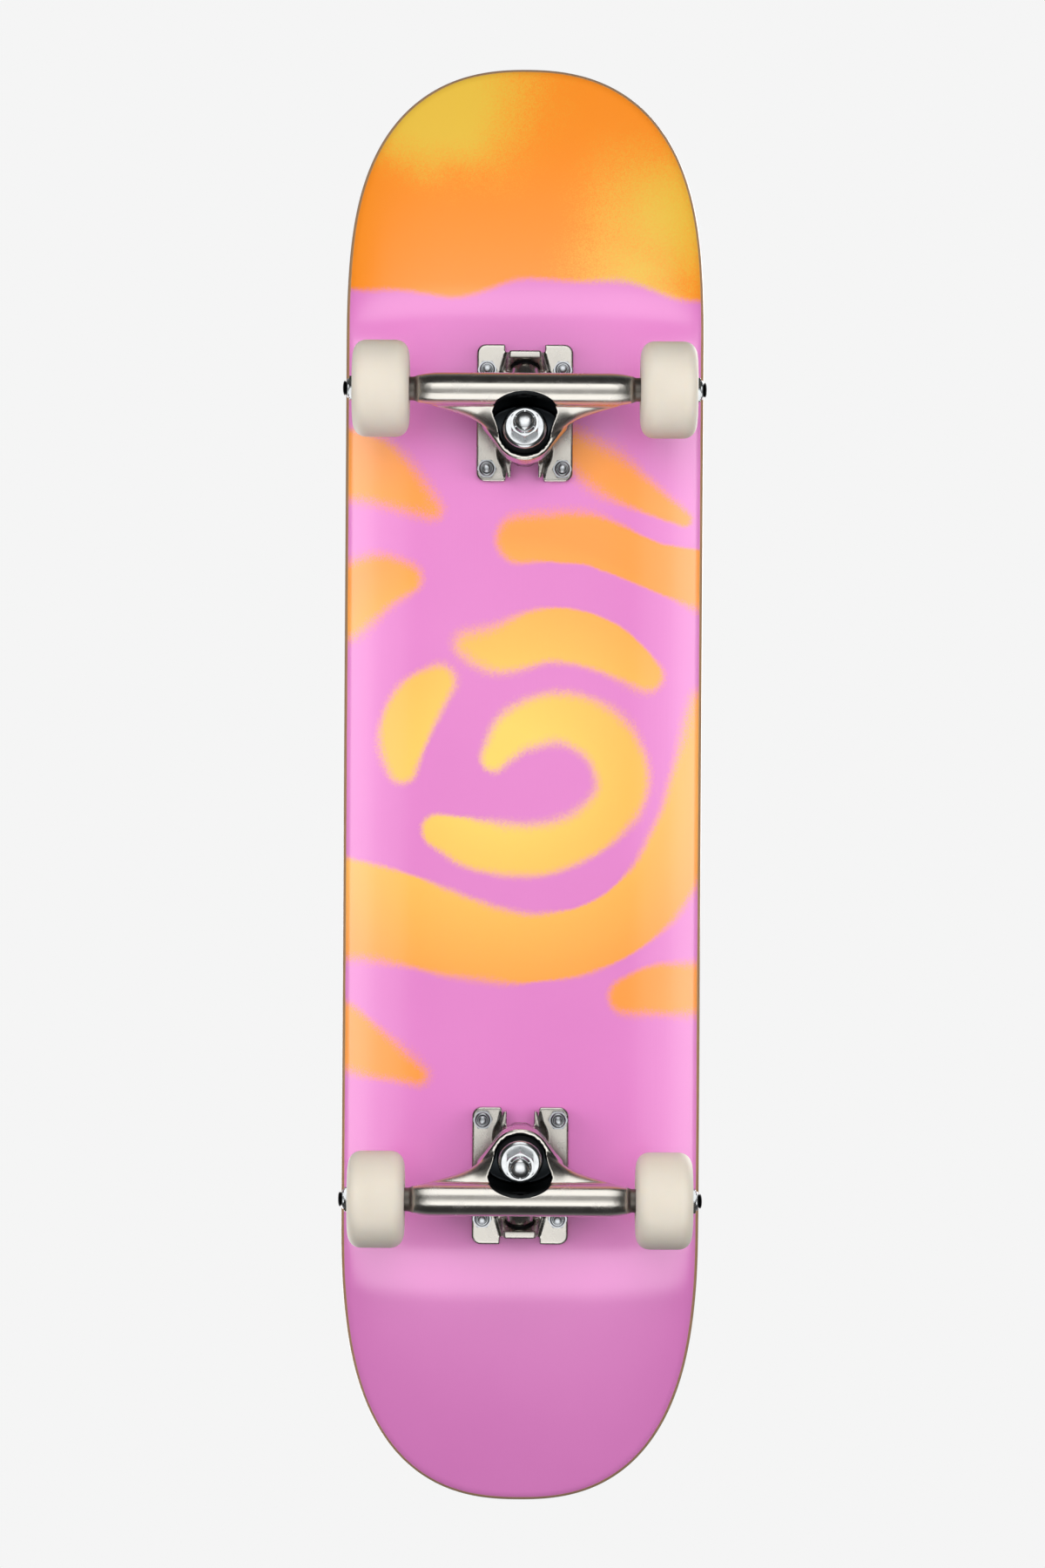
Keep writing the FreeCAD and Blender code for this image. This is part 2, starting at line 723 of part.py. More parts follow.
def steering_arm_cone(gap):
    """The steering arm's taper, grown by gap, from the ring's centre along +Z."""
    start = steering_length * 0.12
    end = steering_length - nose_straight - arm_stand_off
    height = end - start + gap
    return Part.makeCone(arm_root_radius + gap, arm_end_radius + gap, height, Vector(0, 0, start))


def steering_arm():
    """The arm from the ring to the rounded nose that turns in the pivot cup."""
    shoulder = steering_length - nose_straight - arm_stand_off
    shaft = rod(nose_radius, shoulder - 1, steering_length)
    tip = Part.makeSphere(nose_radius, Vector(0, 0, steering_length))
    return [along(shape, ring_centre, steering_axis) for shape in (steering_arm_cone(0), fused([shaft, tip]))]


def gusset():
    """The neck between the steering arm and the barrel."""
    arm_point = ring_centre + steering_axis * (steering_length * 0.45)
    sections = [web_section(y, arm_point.x, arm_point.z, 6.5) for y in (-10, 10)]
    return Part.makeLoft(sections, True, True)


def bushing_pocket():
    """The open pocket round the road-side bushing, washer and nut, up to the barrel."""
    low, high = web_end, web_end + 60
    near_left, near, near_right = [
        in_ring(e, y, low) for e, y in ((0, pocket_radius), (-pocket_radius, 0), (0, -pocket_radius))
    ]
    far_left, far_right = [
        in_ring(pocket_shoulder, side * pocket_half_width, low) for side in (1, -1)
    ]
    far = in_ring(pocket_depth, 0, low)
    edges = [
        Part.Arc(near_left, near, near_right).toShape(),
        Part.makeLine(near_right, far_right),
        Part.Arc(far_right, far, far_left).toShape(),
        Part.makeLine(far_left, near_left),
    ]
    return Part.Face(Part.Wire(edges)).extrude(kingpin_axis * (high - low))


def hanger():
    cup_ring = on_kingpin(rod(ring_radius, web_start - ring_skirt, web_end + ring_lip))
    body = fused([barrel(), cup_ring, gusset()] + yoke() + wings() + steering_arm())
    cutters = [
        bushing_pocket(),
        on_kingpin(rod(web_hole_radius, web_start - 1, web_end + 1)),
        on_kingpin(rod(pocket_radius, boss_seat - 5, web_start)),
        along(rod(axle_radius + axle_clearance, -hanger_width, hanger_width), axle_centre, Vector(0, 1, 0)),
    ]
    for cutter in cutters:
        body = body.cut(cutter)
    return body


def axle():
    bar = rod(axle_radius, -axle_length / 2, axle_length / 2)
    tips = [e for e in bar.Edges if abs(abs(e.BoundBox.ZMax + e.BoundBox.ZMin) / 2 - axle_length / 2) < 1e-6]
    return along(bar.makeChamfer(0.6, tips), axle_centre, Vector(0, 1, 0))


# The wheel and what is on the axle with it, drawn with the wheel's centre at zero and +Z outboard


def wheel():
    half = wheel_width / 2
    seat = bearing_seat_radius
    shoulder_start = Vector(side_face_radius, 0, half)
    shoulder_end = Vector(wheel_radius, 0, tread_half_width)
    run = shoulder_end - shoulder_start
    outward = Vector(-run.z, 0, run.x).normalize()
    bulge = (shoulder_start + shoulder_end) / 2 + outward * shoulder_bulge

    def flipped(point):
        return Vector(point.x, 0, -point.z)

    ends = spacer_length / 2
    inner = [
        Vector(seat + hub_chamfer, 0, half),
        Vector(seat, 0, half - hub_chamfer),
        Vector(seat, 0, ends),
        Vector(hub_bore_radius, 0, ends),
    ]
    path = [shoulder_start] + inner + [flipped(p) for p in inner[::-1]] + [flipped(shoulder_start)]
    edges = [Part.makeLine(path[k], path[k + 1]) for k in range(len(path) - 1)]
    edges.append(Part.Arc(flipped(shoulder_start), flipped(bulge), flipped(shoulder_end)).toShape())
    edges.append(Part.makeLine(flipped(shoulder_end), shoulder_end))
    edges.append(Part.Arc(shoulder_end, bulge, shoulder_start).toShape())
    tyre = Part.Face(Part.Wire(Part.__sortEdges__(edges))).revolve(Vector(0, 0, 0), UP, 360)
    kinks = []
    for edge in tyre.Edges:
        box = edge.BoundBox
        if box.ZLength < 1e-6 and abs(abs(box.ZMin) - tread_half_width) < 1e-6:
            kinks.append(edge)
        if box.ZLength < 1e-6 and abs(box.XMax - side_face_radius) < 1e-6:
            kinks.append(edge)
    return tyre.makeFillet(shoulder_fillet, kinks)


def bearing_centres():
    offset = (spacer_length + bearing_width) / 2
    return (-offset, offset)


def at_both_bearings(shape, flip=False):
    """The shape at both bearings, turned end for end on the inboard one if flip is set."""
    copies = []
    for centre in bearing_centres():
        one = shape.copy()
        if flip and centre < 0:
            one.rotate(Vector(0, 0, 0), Vector(1, 0, 0), 180)
        one.translate(Vector(0, 0, centre))
        copies.append(one)
    return Part.makeCompound(copies)


def ball_track():
    return Part.makeTorus(ball_pitch_radius, ball_radius + ball_clearance)


def outer_rings():
    half = bearing_width / 2
    race = ring(bearing_radius, outer_ring_inner_radius, -half, half).cut(ball_track())
    recess = shield_thickness + shield_inset
    for start in (-half - 1, half - recess):
        race = race.cut(rod(outer_ring_inner_radius + 0.5, start, start + recess + 1))
    return at_both_bearings(race)


def inner_rings():
    half = bearing_width / 2
    race = ring(inner_ring_radius, bearing_bore_radius, -half, half).cut(ball_track())
    return at_both_bearings(race)


def ball_centres():
    for k in range(ball_count):
        yield Rotation(UP, 360.0 * k / ball_count).multVec(Vector(ball_pitch_radius, 0, 0))


def balls():
    return at_both_bearings(Part.makeCompound([Part.makeSphere(ball_radius, c) for c in ball_centres()]))


def cages():
    half = cage_thickness / 2
    cage = ring(ball_pitch_radius + half, ball_pitch_radius - half, cage_front, cage_back)
    for centre in ball_centres():
        cage = cage.cut(Part.makeSphere(ball_radius + ball_clearance, centre))
    return at_both_bearings(cage, flip=True)


def shields():
    half = bearing_width / 2
    start = half - shield_inset - shield_thickness
    inner = inner_ring_radius + shield_gap
    outer = outer_ring_inner_radius + 0.48
    faces = [
        ring(outer, inner, start, start + shield_thickness),
        ring(outer, inner, -start - shield_thickness, -start),
    ]
    return at_both_bearings(Part.makeCompound(faces))


def spacer():
    return ring(spacer_radius, axle_radius + spacer_clearance, -spacer_length / 2, spacer_length / 2)


def speed_washers():
    hole = axle_radius + spacer_clearance
    faces = []
    for start in (-bearing_face - speed_washer_thickness, bearing_face):
        faces.append(ring(inner_ring_radius, hole, start, start + speed_washer_thickness))
    return Part.makeCompound(faces)


def axle_nut():
    nut = lock_nut(axle_nut_flats, axle_nut_height, axle_radius + 0.03)
    nut.translate(Vector(0, 0, bearing_face + speed_washer_thickness))
    return nut


# Putting it together

TRUCK_PIECES = {
    "baseplate": baseplate,
    "pivot_cup": pivot_cup,
    "kingpin": kingpin,
    "bottom_washer": bottom_washer,
    "board_bushing": board_bushing,
    "road_bushing": road_bushing,
    "top_washer": top_washer,
    "kingpin_nut": kingpin_nut,
    "hanger": hanger,
    "axle": axle,
}
WHEEL_PIECES = {
    "wheel": wheel,
    "outer_rings": outer_rings,
    "inner_rings": inner_rings,
    "balls": balls,
    "cages": cages,
    "shields": shields,
    "spacer": spacer,
    "speed_washers": speed_washers,
    "axle_nut": axle_nut,
}


def main():
    os.makedirs("parts", exist_ok=True)
    shapes = {
        "deck": deck(),
        "grip_tape": grip_tape(),
        "mounting_bolts": mounting_bolts(),
        "mounting_nuts": mounting_nuts(),
    }
    placements = {
        "front": FreeCAD.Placement(Vector(front_truck_x, 0, deck_bottom), Rotation(UP, 0)),
        "rear": FreeCAD.Placement(Vector(rear_truck_x, 0, deck_bottom), Rotation(UP, 180)),
    }
    truck_shapes = {name: make() for name, make in TRUCK_PIECES.items()}
    wheel_shapes = {name: make() for name, make in WHEEL_PIECES.items()}
    for end, placement in placements.items():
        for name, shape in truck_shapes.items():
            shapes[f"{end}_{name}"] = shape.transformed(placement.toMatrix(), True)
        for side, y in (("left", 1), ("right", -1)):
            across = y if end == "front" else -y
            centre = axle_centre + Vector(0, across * wheel_y, 0)
            for name, shape in wheel_shapes.items():
                on_truck = along(shape, centre, Vector(0, across, 0))
                shapes[f"{end}_{side}_{name}"] = on_truck.transformed(placement.toMatrix(), True)
    for name, shape in sorted(shapes.items()):
        if not shape.isValid():
            raise ValueError(f"{name} is not a valid shape")
        shape.exportStep(f"parts/{name}.step")
        box = shape.BoundBox
        low, high = box.ZMin, box.ZMax
        count = len(shape.Solids)
        print(f"{name:28s} solids {count:3d}  volume {shape.Volume:11.1f}  z {low:7.2f} {high:7.2f}")


main()
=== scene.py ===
import math

import bmesh
import bpy
import numpy as np
from mathutils import Matrix, Vector


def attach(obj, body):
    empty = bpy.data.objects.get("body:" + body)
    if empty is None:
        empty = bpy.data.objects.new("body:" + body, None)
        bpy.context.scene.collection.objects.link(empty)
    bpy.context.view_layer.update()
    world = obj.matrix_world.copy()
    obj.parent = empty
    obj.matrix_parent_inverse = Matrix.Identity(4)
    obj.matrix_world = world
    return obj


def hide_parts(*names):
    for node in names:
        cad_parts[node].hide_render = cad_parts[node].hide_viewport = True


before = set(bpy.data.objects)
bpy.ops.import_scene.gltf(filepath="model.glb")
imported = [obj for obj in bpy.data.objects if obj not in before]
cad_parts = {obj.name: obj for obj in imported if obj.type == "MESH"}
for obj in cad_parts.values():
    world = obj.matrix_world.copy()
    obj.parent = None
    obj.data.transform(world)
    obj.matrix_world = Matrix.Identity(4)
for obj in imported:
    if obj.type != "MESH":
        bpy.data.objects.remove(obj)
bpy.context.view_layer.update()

mm = 0.001
print("frame loaded:", len(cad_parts), "CAD nodes")


# Small tools


def linear(hexColour):  # sRGB hex to the linear colour that a socket takes
    channels = [int(hexColour[k:k + 2], 16) / 255 for k in (1, 3, 5)]
    return [c / 12.92 if c <= 0.04045 else ((c + 0.055) / 1.055) ** 2.4 for c in channels] + [1.0]


def setInputs(tree, node, inputs):
    # an input takes a node (its output in use), a socket, a hex colour or a plain value
    for key, value in inputs.items():
        if isinstance(value, str) and value.startswith("#"):
            value = linear(value)
        if isinstance(value, bpy.types.Node):
            value = next(socket for socket in value.outputs if socket.enabled)
        if isinstance(value, bpy.types.NodeSocket):
            tree.links.new(value, node.inputs[key])
        else:
            node.inputs[key].default_value = value


def nodeAdder(tree):
    def add(kind, inputs=None, **settings):
        made = tree.nodes.new(kind if "Node" in kind else "ShaderNode" + kind)
        for key, value in settings.items():
            setattr(made, key, value)
        setInputs(tree, made, inputs or {})
        return made

    return add


def addObject(name, data):
    piece = bpy.data.objects.new(name, data)
    bpy.context.collection.objects.link(piece)
    return piece


def meshObject(name, verts, faces, material=None):
    mesh = bpy.data.meshes.new(name)
    mesh.from_pydata([tuple(v) for v in verts], [], faces)
    mesh.update()
    if material:
        mesh.materials.append(material)
    return addObject(name, mesh)


def tidyNormals(piece, mergeDistance=1e-6):
    work = bmesh.new()
    work.from_mesh(piece.data)
    bmesh.ops.remove_doubles(work, verts=work.verts, dist=mergeDistance)
    bare = [edge for edge in work.edges if not edge.link_faces]
    bmesh.ops.delete(work, geom=bare, context="EDGES")
    bmesh.ops.recalc_face_normals(work, faces=work.faces)
    work.to_mesh(piece.data)
    work.free()


def bakeModifiers(piece):
    settled = bpy.data.meshes.new_from_object(piece.evaluated_get(bpy.context.evaluated_depsgraph_get()))
    piece.modifiers.clear()
    piece.data = settled
    return piece


def smoothShade(piece, sharpAngle=None):
    piece.data.shade_smooth()
    if sharpAngle is not None:
        piece.data.set_sharp_from_angle(angle=math.radians(sharpAngle))


def settle(piece, body, slot, *nodes):
    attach(piece, body)
    if nodes:
        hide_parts(*nodes)


def lathe(profile, segments, reshape=None):
    # a closed profile of (radius, height) spun round +Z; reshape may move each point
    verts, faces = [], []
    count = len(profile)
    for k, (radius, height) in enumerate(profile):
        for s in range(segments):
            angle = 2 * math.pi * s / segments
            r, h = reshape(radius, height, angle) if reshape else (radius, height)
            verts.append((r * math.cos(angle), r * math.sin(angle), h))
    for k in range(count):
        row, under = k * segments, (k + 1) % count * segments
        for s in range(segments):
            across = (s + 1) % segments
            faces.append((row + s, row + across, under + across, under + s))
    return verts, faces


def loft(sections):
    verts, faces = [], []
    count = len(sections[0])
    for section in sections:
        verts.extend(section)
    for k in range(len(sections) - 1):
        for s in range(count):
            a, b = k * count + s, k * count + (s + 1) % count
            faces.append((a, b, b + count, a + count))
    faces.append(tuple(range(count))[::-1])
    faces.append(tuple(range((len(sections) - 1) * count, len(sections) * count)))
    return verts, faces


def arcPoints(centre, radius, startDegrees, endDegrees, steps):
    points = []
    for k in range(steps + 1):
        angle = math.radians(startDegrees + (endDegrees - startDegrees) * k / steps)
        points.append((centre[0] + radius * math.cos(angle), centre[1] + radius * math.sin(angle)))
    return points


def curvePoint(stations, k, t):  # Catmull-Rom: a share t of the way from station k to the next
    ends = [stations[0], *stations, stations[-1]]
    p0, p1, p2, p3 = (np.array(ends[j], float) for j in range(k, k + 4))
    return 0.5 * (2 * p1 + (p2 - p0) * t + (2 * p0 - 5 * p1 + 4 * p2 - p3) * t * t
                  + (3 * p1 - p0 - 3 * p2 + p3) * t ** 3)


# Sizes that several pieces share, in millimetres

board = {
    "deckBottom": 78.0,
    "frontTruckX": 199.0875,
    "rearTruckX": -210.4875,
    "boltAlong": 53.975,
    "boltAcross": 41.275,
}
truckEnds = {
    "front": Matrix.Translation((board["frontTruckX"], 0, board["deckBottom"])),
    "rear": (Matrix.Translation((board["rearTruckX"], 0, board["deckBottom"]))
             @ Matrix.Rotation(math.pi, 4, "Z")),
}
sideSign = {"left": 1, "right": -1}


# Materials. Patterns read Object coordinates, which are metres in the board's own frame.


def startMaterial(name):
    material = bpy.data.materials.new(name)
    material.use_nodes = True
    add = nodeAdder(material.node_tree)
    return material, add, add("TexCoord").outputs["Object"]


def finishMaterial(material, height, strength, depth, inputs):
    # the shader's inputs, with a bump from the height
    tree = material.node_tree
    bump = nodeAdder(tree)("Bump", {"Height": height, "Strength": strength, "Distance": depth})
    setInputs(tree, tree.nodes["Principled BSDF"], {**inputs, "Normal": bump})
    return material


def paintedMaple():
    # Maple veneers, heat-transfer print and clear gloss lacquer: saturated colour under a hard shine,
    # with bare plies where the router has rounded the edge through the print
    material, add, place = startMaterial("lacqueredMaplePrint")
    field = {}
    for name in ("plyHeight", "rimInset", "sprayDistance", "noseDistance", "mistDistance", "warmth"):
        field[name] = add("Attribute", attribute_name=name).outputs["Fac"]
    droplets = add("TexVoronoi", {"Vector": place, "Scale": 2300.0})  # 0.4 mm
    droplets = add("SeparateColor", {0: droplets.outputs["Color"]})
    drift = add("TexNoise", {"Vector": place, "Scale": 38.0, "Detail": 3.0})  # 26 mm
    cloud = add("TexNoise", {"Vector": place, "Scale": 11.0, "Detail": 2.0})  # 90 mm

    # overspray: the distance from a stroke's edge, in mm, drifts a little and breaks up into droplets; the
    # can was held close in places and further off in others, so the edge is crisp here and soft there
    def sprayMask(distance, crisp, soft, drifting):
        spread = add("MapRange", {"Value": cloud, "From Min": 0.36, "From Max": 0.66,
                                  "To Min": crisp, "To Max": soft})
        inward = add("Math", {0: spread, 1: -1.0}, operation="MULTIPLY")
        grain = add("Math", {0: droplets, 1: 0.84, 2: -0.42}, operation="MULTIPLY_ADD")
        grain = add("Math", {0: grain, 1: spread}, operation="MULTIPLY")
        drifted = add("Math", {0: drift, 1: 2 * drifting, 2: -drifting}, operation="MULTIPLY_ADD")
        shifted = add("Math", {0: distance, 1: drifted}, operation="ADD")
        shifted = add("Math", {0: shifted, 1: grain}, operation="ADD")
        return add("MapRange", {"Value": shifted, "From Min": spread, "From Max": inward},
                   interpolation_type="SMOOTHSTEP")

    strokes = sprayMask(field["sprayDistance"], 1.1, 6.8, 1.4)
    nosePaint = sprayMask(field["noseDistance"], 1.4, 3.4, 1.2)
    mist = sprayMask(field["mistDistance"], 16.0, 34.0, 8.0)
    pink = add("Mix", {0: cloud, 6: "#DE7BC4", 7: "#E887CD"}, data_type="RGBA")
    strokeColour = add("Mix", {0: field["warmth"], 6: "#FF9C3C", 7: "#FFD45E"},
                       data_type="RGBA")
    noseColour = add("Mix", {0: mist, 6: "#FF9116", 7: "#EFC340"}, data_type="RGBA")
    painted = add("Mix", {0: strokes, 6: pink, 7: strokeColour}, data_type="RGBA")
    painted = add("Mix", {0: nosePaint, 6: painted, 7: noseColour}, data_type="RGBA")

    # plies: 1.5 mm each, their grain along the board by turns with across it
    fibre = add("Mapping", {"Vector": place, "Scale": (60.0, 700.0, 1600.0)})
    fibre = add("TexNoise", {"Vector": fibre, "Scale": 1.0, "Detail": 4.0})
    ply = add("Math", {0: field["plyHeight"], 1: 1.0}, operation="PINGPONG")
    glue = add("Math", {0: field["plyHeight"]}, operation="FRACT")
    glue = add("Math", {0: glue, 1: 0.0, 2: 0.12}, operation="COMPARE")
    plyTone = add("MapRange", {"Value": ply, "From Min": 0.47, "From Max": 0.53})
    wood = add("Mix", {0: plyTone, 6: "#D3B58C", 7: "#B58F66"}, data_type="RGBA")
    wood = add("Mix", {0: fibre, 6: wood, 7: "#D8C2A4"}, data_type="RGBA", blend_type="MULTIPLY")
    wood = add("Mix", {0: glue, 6: wood, 7: "#6E4E33"}, data_type="RGBA")
    wobble = add("Math", {0: drift, 1: 0.5, 2: -0.25}, operation="MULTIPLY_ADD")
    cutLine = add("Math", {0: field["rimInset"], 1: wobble}, operation="ADD")
    hasPrint = add("MapRange", {"Value": cutLine, "From Min": 1.55, "From Max": 1.8})
    underside = add("Math", {0: field["plyHeight"], 1: 3.0}, operation="LESS_THAN")
    hasPrint = add("Math", {0: hasPrint, 1: underside}, operation="MULTIPLY")
    colour = add("Mix", {0: hasPrint, 6: wood, 7: painted}, data_type="RGBA")

    # veneer grain telegraphs through the lacquer as faint lengthwise streaks
    streak = add("Mapping", {"Vector": place, "Scale": (22.0, 620.0, 620.0)})
    streak = add("TexNoise", {"Vector": streak, "Scale": 1.0, "Detail": 5.0})
    rough = add("MapRange", {"Value": streak, "To Min": 0.3, "To Max": 0.4})
    return finishMaterial(material, streak, 0.12, 0.0004, {
        "Base Color": colour, "Roughness": rough, "Coat Weight": 1.0, "Coat Roughness": 0.2, "Coat IOR": 1.7,
    })


def gripGrit():
    # Silicon carbide grit in black resin on a film: a matte black with bright crystal facets
    material, add, place = startMaterial("siliconCarbideGrip")
    grit = add("TexVoronoi", {"Vector": place, "Scale": 1100.0})  # 0.9 mm, coarser than real so that it shows
    crystal = add("SeparateColor", {0: grit.outputs["Color"]}).outputs
    bed = add("TexNoise", {"Vector": place, "Scale": 60.0, "Detail": 4.0})
    glint = add("Math", {0: crystal["Red"], 1: 0.9}, operation="GREATER_THAN")
    shade = add("MapRange", {"Value": crystal["Green"], "From Max": 1.6})
    shade = add("Math", {0: shade, 1: glint}, operation="MAXIMUM")
    tone = add("Mix", {0: shade, 6: "#0D0D0E", 7: "#63636A"}, data_type="RGBA")
    worn = add("Mix", {0: bed, 6: tone, 7: "#A9A5A0"}, data_type="RGBA", blend_type="MULTIPLY")
    rough = add("MapRange", {"Value": crystal["Blue"], "To Min": 0.35, "To Max": 0.95})
    return finishMaterial(material, grit, 1.0, 0.0006, {"Base Color": worn, "Roughness": rough})


def castMetal(name, light, dark, roughness, grainSize, grainStrength, paintedShade=False):
    # Gravity-cast A356 aluminium: a soft grey metal whose sheen depends on how long it was tumbled
    material, add, place = startMaterial(name)
    skin = add("TexNoise", {"Vector": place, "Scale": 1000 / grainSize, "Detail": 4.0})
    flow = add("TexNoise", {"Vector": place, "Scale": 95.0, "Detail": 3.0})
    colour = add("Mix", {0: flow, 6: dark, 7: light}, data_type="RGBA")
    rough = add("MapRange", {"Value": flow, "From Min": 0.3, "From Max": 0.7,
                             "To Min": roughness - 0.05, "To Max": roughness + 0.06})
    if paintedShade:
        # painted shade: the pocket is painted near black for its shade and the black bushing's reflection;
        # the necks beside the wheels, which the polishing wheel can't reach, stay rougher as cast and are
        # painted darker for the wheels' shade
        depth = add("Attribute", attribute_name="depthIn").outputs["Fac"]
        pocket = add("MapRange", {"Value": depth, "From Min": -0.42, "From Max": -0.3})
        across = add("SeparateXYZ", {0: place}).outputs["Y"]
        across = add("Math", {0: across}, operation="ABSOLUTE")
        neck = add("MapRange", {"Value": across, "From Min": 0.0565, "From Max": 0.0590})
        # painted shade: each mask darkens the colour towards its painted shade tone and roughens it
        for mask, paintedShadeTone, rougher in ((pocket, "#2A2E31", 0.1), (neck, "#7B7771", 0.25)):
            colour = add("Mix", {0: mask, 6: colour, 7: paintedShadeTone}, data_type="RGBA")
            rough = add("Math", {0: mask, 1: rougher, 2: rough}, operation="MULTIPLY_ADD")
    return finishMaterial(material, skin, grainStrength, 0.0002, {
        "Base Color": colour, "Roughness": rough, "Metallic": 1.0,
    })


def steel(name, colour, roughness, scratchScale, scratchStrength):
    # Turned and plated steel: bright, with the fine marks that the lathe and the plating barrel leave
    material, add, place = startMaterial(name)
    marks = add("Mapping", {"Vector": place, "Scale": scratchScale})
    marks = add("TexNoise", {"Vector": marks, "Scale": 1.0, "Detail": 3.0})
    stain = add("TexNoise", {"Vector": place, "Scale": 240.0, "Detail": 3.0})  # 4 mm
    value = add("MapRange", {"Value": stain, "To Min": 0.82, "To Max": 1.08})
    tone = add("HueSaturation", {"Color": colour, "Value": value})
    rough = add("MapRange", {"Value": marks, "To Min": roughness - 0.06, "To Max": roughness + 0.08})
    return finishMaterial(material, marks, scratchStrength, 0.0001, {
        "Base Color": tone, "Roughness": rough, "Metallic": 1.0,
    })


def urethane(name, light, dark, roughness, translucency, moteSize):
    # Poured urethane: dense, waxy and matte from the mould; the pale one lets light a little way in
    material, add, place = startMaterial(name)
    motes = add("TexNoise", {"Vector": place, "Scale": 1000 / moteSize, "Detail": 3.0})
    haze = add("TexNoise", {"Vector": place, "Scale": 45.0, "Detail": 2.0})
    colour = add("Mix", {0: haze, 6: dark, 7: light}, data_type="RGBA")
    rough = add("MapRange", {"Value": haze, "To Min": roughness - 0.05, "To Max": roughness + 0.06})
    return finishMaterial(material, motes, 0.08, 0.0002, {
        "Base Color": colour, "Roughness": rough, "IOR": 1.5, "Subsurface Weight": translucency,
        "Subsurface Radius": (0.006, 0.004, 0.0025), "Subsurface Scale": 0.6,
    })


look = {
    "deck": paintedMaple(),
    "grip": gripGrit(),
    # True: painted shade in the hanger's pocket and on its necks
    "polishedCast": castMetal("tumbledCastAluminium", "#D2CFC8", "#BCB8B0", 0.23, 0.9, 0.05, True),
    "satinCast": castMetal("blastedCastAluminium", "#CCC9C2", "#B4B0A8", 0.25, 0.6, 0.12),
    "zinc": steel("brightZincPlatedSteel", "#C9CCCE", 0.22, (500.0, 500.0, 500.0), 0.1),
    "hardware": steel("dullZincPlatedSteel", "#8F9295", 0.28, (500.0, 500.0, 500.0), 0.12),
    "machined": steel("turnedSteelAxle", "#9C9CA0", 0.3, (300.0, 2600.0, 300.0), 0.2),
    "blackOxide": steel("blackOxideSteel", "#1B1C1F", 0.36, (500.0, 500.0, 500.0), 0.15),
    "bearing": steel("groundBearingSteel", "#C9CCD0", 0.16, (700.0, 700.0, 700.0), 0.05),
    "bushing": urethane("blackBushingUrethane", "#1A1B1D", "#0E0F10", 0.42, 0.0, 0.8),
    "wheel": urethane("creamWheelUrethane", "#E2DACC", "#D9D0C1", 0.5, 0.25, 0.7),
    "cage": urethane("glassFilledNylon", "#6B3A22", "#54301D", 0.5, 0.0, 0.5),
}
print("materials ready:", len(look))


# The deck: a flat blank with its routed edge, bent by a Geometry Nodes press

deck = {
    "length": 800.1,
    "width": 196.85,
    "thickness": 10.5,
    "plyThickness": 1.5,
    "noseTaper": 160.0,
    "nosePowers": (3.2, 2.3),
    "tailTaper": 180.0,
    "tailPowers": (3.3, 2.4),
    "flatHalfWidth": 30.0,
    "concaveRadius": 219.0,
    "bendRadius": 90.0,
    "kickAngle": 21.0,
    "noseBend": 242.075,
    "tailBend": -253.475,
    "rimWidth": 5.0,      # how far in the underside's soft edge starts
    "rimHeight": 2.6,
    "topRound": 0.6,
    "meshStep": 2.8,
    "columns": 72,
    "topColumns": 18,
}


def deckOutline():
    # half of the plan, from the tip of the tail along the left side to the tip of the nose, evenly spaced
    half, points = deck["width"] / 2, []
    ends = ((-1, deck["tailTaper"], deck["tailPowers"]), (1, deck["noseTaper"], deck["nosePowers"]))
    for sign, taper, powers in ends:
        start = sign * (deck["length"] / 2 - taper)
        turn = np.radians(np.linspace(90, 0, 1500))
        x = start + sign * taper * np.sin(turn) ** (2 / powers[0])
        y = half * np.cos(turn) ** (2 / powers[1])
        run = np.column_stack([x, y])
        points.append(run if sign < 0 else run[::-1])
    path = np.vstack(points)
    along = np.concatenate([[0], np.cumsum(np.linalg.norm(np.diff(path, axis=0), axis=1))])
    count = int(along[-1] / deck["meshStep"])
    even = np.linspace(0, along[-1], count)
    place = np.column_stack([np.interp(even, along, path[:, k]) for k in (0, 1)])
    slope = np.gradient(place, axis=0)
    normal = np.column_stack([-slope[:, 1], slope[:, 0]])
    normal /= np.linalg.norm(normal, axis=1)[:, None]
    place[0] = (-deck["length"] / 2, 0)
    place[-1] = (deck["length"] / 2, 0)
    normal[0], normal[-1] = (-1, 0), (1, 0)
    return place, normal


def edgeProfile():
    # (inset, height) from the underside round the edge to the top face
    rim = []
    for k in range(9):
        turn = math.radians(90 * k / 8)
        rim.append((deck["rimWidth"] * (1 - math.sin(turn)), deck["rimHeight"] * (1 - math.cos(turn))))
    wall = [(0.0, deck["rimHeight"] + (deck["thickness"] - deck["topRound"] - deck["rimHeight"]) * k / 5)
            for k in range(1, 6)]
    top = []
    for k in range(1, 5):
        turn = math.radians(90 * k / 4)
        top.append((deck["topRound"] * (1 - math.cos(turn)),
                    deck["thickness"] - deck["topRound"] * (1 - math.sin(turn))))
    return rim + wall + top


